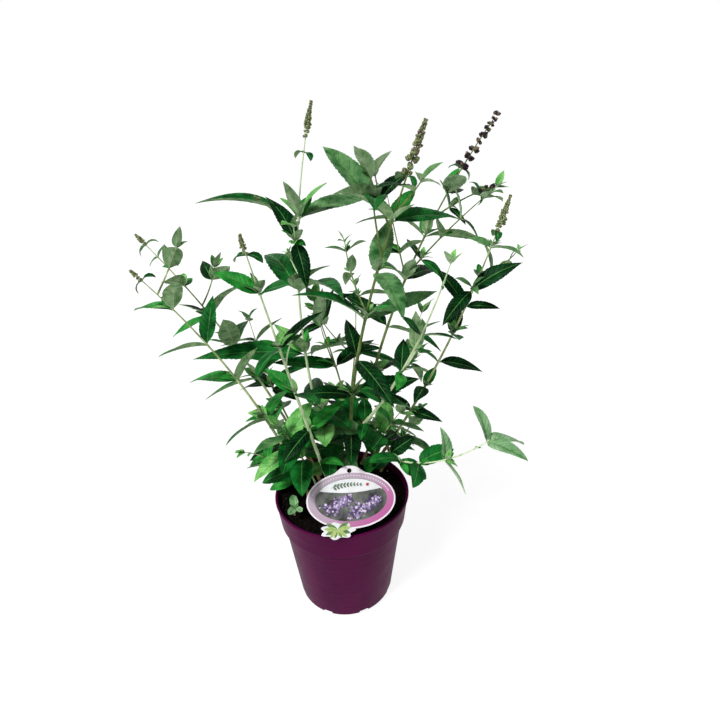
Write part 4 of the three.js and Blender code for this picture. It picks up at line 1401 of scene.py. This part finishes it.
def ring_material():
    """Print that goes from pale lilac at the left and top to pink at the right and bottom."""
    material, tree, bsdf = shader("label_ring", 0.3, Specular_IOR_Level=0.5, Coat_Weight=0.2)
    place = add_node(tree, "TexCoord").outputs["Object"]
    along = calculated(tree, "VectorMath", "DOT_PRODUCT", place, RING_FADE_AIM)
    colour = ramp(tree, calculated(tree, "Math", "ADD", along, RING_FADE_START), [
        (0.0, srgb(146, 132, 145)), (0.45, srgb(148, 124, 143)), (0.66, srgb(148, 92, 130)),
        (1.0, srgb(150, 64, 122)),
    ])
    tree.links.new(colour, bsdf.inputs["Base Color"])
    return material


# Each ink's dark and light colour, and how fine it is mottled.
LABEL_INKS = {
    "ground": ((24, 28, 26), (98, 101, 94), 70),
    "band": ((178, 180, 182), (194, 195, 197), 60),
    "leaf_dark": ((58, 88, 44), (92, 118, 62), 400),
    "leaf_light": ((112, 136, 74), (152, 168, 104), 400),
    "violet": ((40, 30, 58), (76, 60, 96), 400),
    "lilac": ((96, 82, 122), (144, 128, 162), 400),
    "mauve": ((154, 138, 168), (194, 180, 200), 400),
    "vine": ((60, 78, 62), (88, 106, 86), 400),
    "red": ((130, 20, 36), (150, 30, 46), 400),
}
INK_SLOT = {ink: slot for slot, ink in enumerate(["ring", *LABEL_INKS])}
PRINT_SUNK = 0.02
PRINT_LAYER = 0.05
RING_HALF = (48.9, 29.6)
PICTURE_HALF = (41, 23.4)
DOTS_HALF = (45, 26.6)
DOT_COUNT = 34
DOT_RADIUS = 0.75
BAND_EDGE = 10.6
TWIG_ENDS = (-22, 15)
TWIG_LEVEL = 16.6
TWIG_HALF_WIDTH = 0.22
TWIG_LEAF_TILT = 0.7
BLOSSOM_PLACE = (20, 15.6)
BLOSSOM_SIZE = 2.1
# Each plume of blossom: its foot and its tip.
PLUMES = (((-30, -12), (0, 3)), ((0, -17), (32, 0)))
PLUME_BLOSSOMS = 230
PLUME_DARK_BLOSSOMS = 110
PLUME_INKS = ("lilac", "mauve", "lilac", "violet")
PLUME_TOP = 5.5
LOBE_LEAVES = 11


def print_ring(printed):
    """The ring, the ground of the picture inside it, and the dots along the ring's upper half."""
    stamp(printed, oval(*RING_HALF), "ring", 1)
    stamp(printed, oval(*PICTURE_HALF), "ground", 2)
    wide, high = DOTS_HALF
    for a in np.linspace(0.3, 2.85, DOT_COUNT):
        dot = oval(DOT_RADIUS, DOT_RADIUS, 8) + (wide * math.cos(a), high * math.sin(a))
        stamp(printed, dot, "band", 2)


def print_band(printed):
    """A white band across the top of the picture, with a leafy twig and a small red blossom."""
    wide, high = 0.985 * np.array(PICTURE_HALF)
    band = [(wide * math.cos(a), high * math.sin(a)) for a in np.linspace(0.42, 2.8, 50)]
    inside = np.linspace(band[-1][0], band[0][0], 26)[1:-1]
    dip = [(x, BAND_EDGE - 3 * math.cos(0.047 * x)) for x in inside]
    stamp(printed, band + dip, "band", 3)
    x = np.linspace(*TWIG_ENDS, 40)
    twig = np.stack([x, TWIG_LEVEL - 0.006 * x * x], axis=1)
    side = (0, TWIG_HALF_WIDTH)
    stamp(printed, np.concatenate([twig + side, (twig - side)[::-1]]), "vine", 4)
    for k in range(3, 38, 4):
        for tilt in (TWIG_LEAF_TILT, -TWIG_LEAF_TILT):
            length = 5.4 - 0.07 * k
            middle = twig[k] + 0.5 * length * np.array([math.cos(tilt), math.sin(tilt)])
            stamp(printed, lance(middle, length, 0.24 * length, tilt), "vine", 4)
    stamp(printed, petals(np.array(BLOSSOM_PLACE), BLOSSOM_SIZE, 4, 0.4), "red", 4)


def print_plumes(printed):
    """Two plumes of small lilac blossoms. Each blossom lies a hair above the one before."""
    random = np.random.default_rng(41)
    for foot, tip in PLUMES:
        for i in range(PLUME_BLOSSOMS):
            f = random.uniform(0, 1)
            centre = np.array(foot) * (1 - f) + np.array(tip) * f
            centre = centre + random.normal(0, 0.5, 2) * (9 - 5 * f)
            if np.hypot(*(centre / PICTURE_HALF)) < 0.92 and centre[1] < PLUME_TOP:
                ink = "violet" if i < PLUME_DARK_BLOSSOMS else PLUME_INKS[i % len(PLUME_INKS)]
                size = random.uniform(1.0, 1.8)
                blossom = petals(centre, size, 4, random.uniform(0, 6))
                stamp(printed, blossom, ink, 3, 0.0006 * i)


def print_lobe(printed):
    """A white lobe with a fan of leaves."""
    stamp(printed, label_lobe(0.4), "band", 5)
    x, y = LABEL_LOBE_CENTRE
    for k, a in enumerate(np.linspace(-3.6, 0.5, LOBE_LEAVES)):
        length = 7 + 8 * abs(math.cos(a))
        centre = np.array([x + 0.52 * length * math.cos(a), y + 1.5 + 0.52 * length * math.sin(a)])
        leaf = lance(centre, length, 0.16 * length, a)
        stamp(printed, leaf, "leaf_light" if k % 2 else "leaf_dark", 6 + k % 2)


def plate_mesh():
    """The flat plate with its hole and a small rounding on its edges, in the label's own plane."""
    curve = bpy.data.curves.new("label_plate", "CURVE")
    curve.dimensions = "2D"
    curve.fill_mode = "BOTH"
    curve.extrude = (LABEL_THICKNESS / 2 - PLATE_EDGE) * MM
    curve.bevel_depth = PLATE_EDGE * MM
    curve.bevel_resolution = 2
    curve.offset = -PLATE_EDGE * MM
    hole = oval(LABEL_HOLE_RADIUS, LABEL_HOLE_RADIUS, 28)
    hole = hole + (0, LABEL_HALF_HEIGHT + LABEL_TAB_HEIGHT - LABEL_HOLE_DROP)
    for points in (label_outline(), hole):
        spline = curve.splines.new("POLY")
        spline.points.add(len(points) - 1)
        flat = np.zeros((len(points), 4))
        flat[:, :2] = points * MM
        flat[:, 3] = 1
        spline.points.foreach_set("co", flat.ravel())
        spline.use_cyclic_u = True
    drawn = add_piece("label_drawn", curve)
    plate = evaluated_mesh(drawn)
    bpy.data.objects.remove(drawn)
    return plate


def stake_rings():
    """The stake, from its narrow foot in the compost up to the back of the leaning plate."""
    x, y, z = LABEL_CENTRE
    foot = SOIL_LEVEL - STAKE_DEPTH
    edges = []
    for sx, sy in ((-1, -1), (1, -1), (1, 1), (-1, 1)):
        at = y + STAKE_BACK + sy * STAKE_THICKNESS / 2
        top = z + (at - y) / math.tan(math.radians(LABEL_LEAN))
        edges.append([(x + sx * STAKE_WIDTH * w / 2, at, foot + (top - foot) * f)
                      for w, f in STAKE_TAPER])
    return np.array(edges).transpose(1, 0, 2)


def add_label():
    """The plate and its stake, as one piece of white plastic."""
    plate = plate_mesh()
    points = np.array([v.co for v in plate.vertices]) / MM
    faces = [list(p.vertices) for p in plate.polygons]
    whole = Gather()
    whole.add(on_label(points), faces, [0] * len(faces))
    whole.loft(stake_rings(), 0)
    white = mottled("label_plastic", (188, 183, 189), (202, 197, 203), 60, 0.3, 900, 0.02,
                    Specular_IOR_Level=0.5, Coat_Weight=0.25)
    piece = whole.build("label_plate", [white], sharp=30)
    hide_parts("label")
    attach(piece, BODY)


def add_label_print():
    """A generic design: a lilac ring with pale dots, a white band with a leafy twig, and two blossom
    plumes over a blurred ground, with leaves on the lobe."""
    printed = Gather()
    print_ring(printed)
    print_band(printed)
    print_plumes(printed)
    print_lobe(printed)
    gloss = dict(Specular_IOR_Level=0.3, Coat_Weight=0.1)
    inks = [ring_material()]
    for ink, values in LABEL_INKS.items():
        inks.append(mottled("label_" + ink, *values, 0.35, 900, 0.01, **gloss))
    piece = printed.build("label_print", inks, sharp=30)
    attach(piece, BODY)


# ---- floor, lights and camera

# Lengths in this section are in metres.
FLOOR_REACH = 6.0
FLOOR_LEVEL = -0.0005
KEY_AIM = (0.52, 0.56, -1.0)
CAMERA_PLACE = (0.028, -0.495, 0.557)
CAMERA_PITCH = 24.1
CAMERA_ROLL = -1.75
CAMERA_LENS = 24


def add_floor():
    """A plain floor that is as white as the photo's ground, and still takes a soft shadow."""
    mesh = bpy.data.meshes.new("floor")
    corners = [(x * FLOOR_REACH, y * FLOOR_REACH, FLOOR_LEVEL) for x, y in
               ((-1, -1), (1, -1), (1, 1), (-1, 1))]
    mesh.from_pydata(corners, [], [(0, 1, 2, 3)])
    material, _, bsdf = shader("floor", 0.9)
    bsdf.inputs["Base Color"].default_value = (0.12, 0.12, 0.12, 1)
    bsdf.inputs["Emission Color"].default_value = (1, 1, 1, 1)
    bsdf.inputs["Emission Strength"].default_value = 0.88
    mesh.materials.append(material)
    add_piece("floor", mesh)


def add_lights():
    """A studio that is white round the sides and dimmer overhead, with a large soft key light."""
    world = bpy.data.worlds.new("studio")
    world.use_nodes = True
    tree = world.node_tree
    place = add_node(tree, "TexCoord").outputs["Generated"]
    split = add_node(tree, "SeparateXYZ", Vector=place)
    shade = ramp(tree, split.outputs["Z"], [(0.5, (1, 1, 1, 1)), (0.75, (0.14, 0.14, 0.14, 1))])
    background = tree.nodes["Background"]
    tree.links.new(shade, background.inputs["Color"])
    bpy.context.scene.world = world
    key = bpy.data.lights.new("key", "SUN")
    key.energy = 4.1
    key.angle = math.radians(16)
    lamp = add_piece("key", key)
    lamp.rotation_euler = Vector(KEY_AIM).to_track_quat("-Z", "Y").to_euler()


def add_camera():
    """The camera as it was fitted to the pot in the photo."""
    camera = bpy.data.cameras.new("camera")
    camera.lens = CAMERA_LENS
    camera.sensor_width = 36
    camera.clip_start = 0.02
    eye = add_piece("camera", camera)
    pitch = Matrix.Rotation(math.radians(90 - CAMERA_PITCH), 4, "X")
    roll = Matrix.Rotation(math.radians(CAMERA_ROLL), 4, "Z")
    eye.matrix_world = Matrix.Translation(CAMERA_PLACE) @ pitch @ roll
    bpy.context.scene.camera = eye


# ---- the whole part

shoots = grown_shoots()
add_pot()
add_compost()
add_label()
add_label_print()
add_limbs(shoots)
add_crown(shoots)
add_spikes(shoots)
add_floor()
add_lights()
add_camera()
bpy.context.scene.view_settings.view_transform = "Standard"
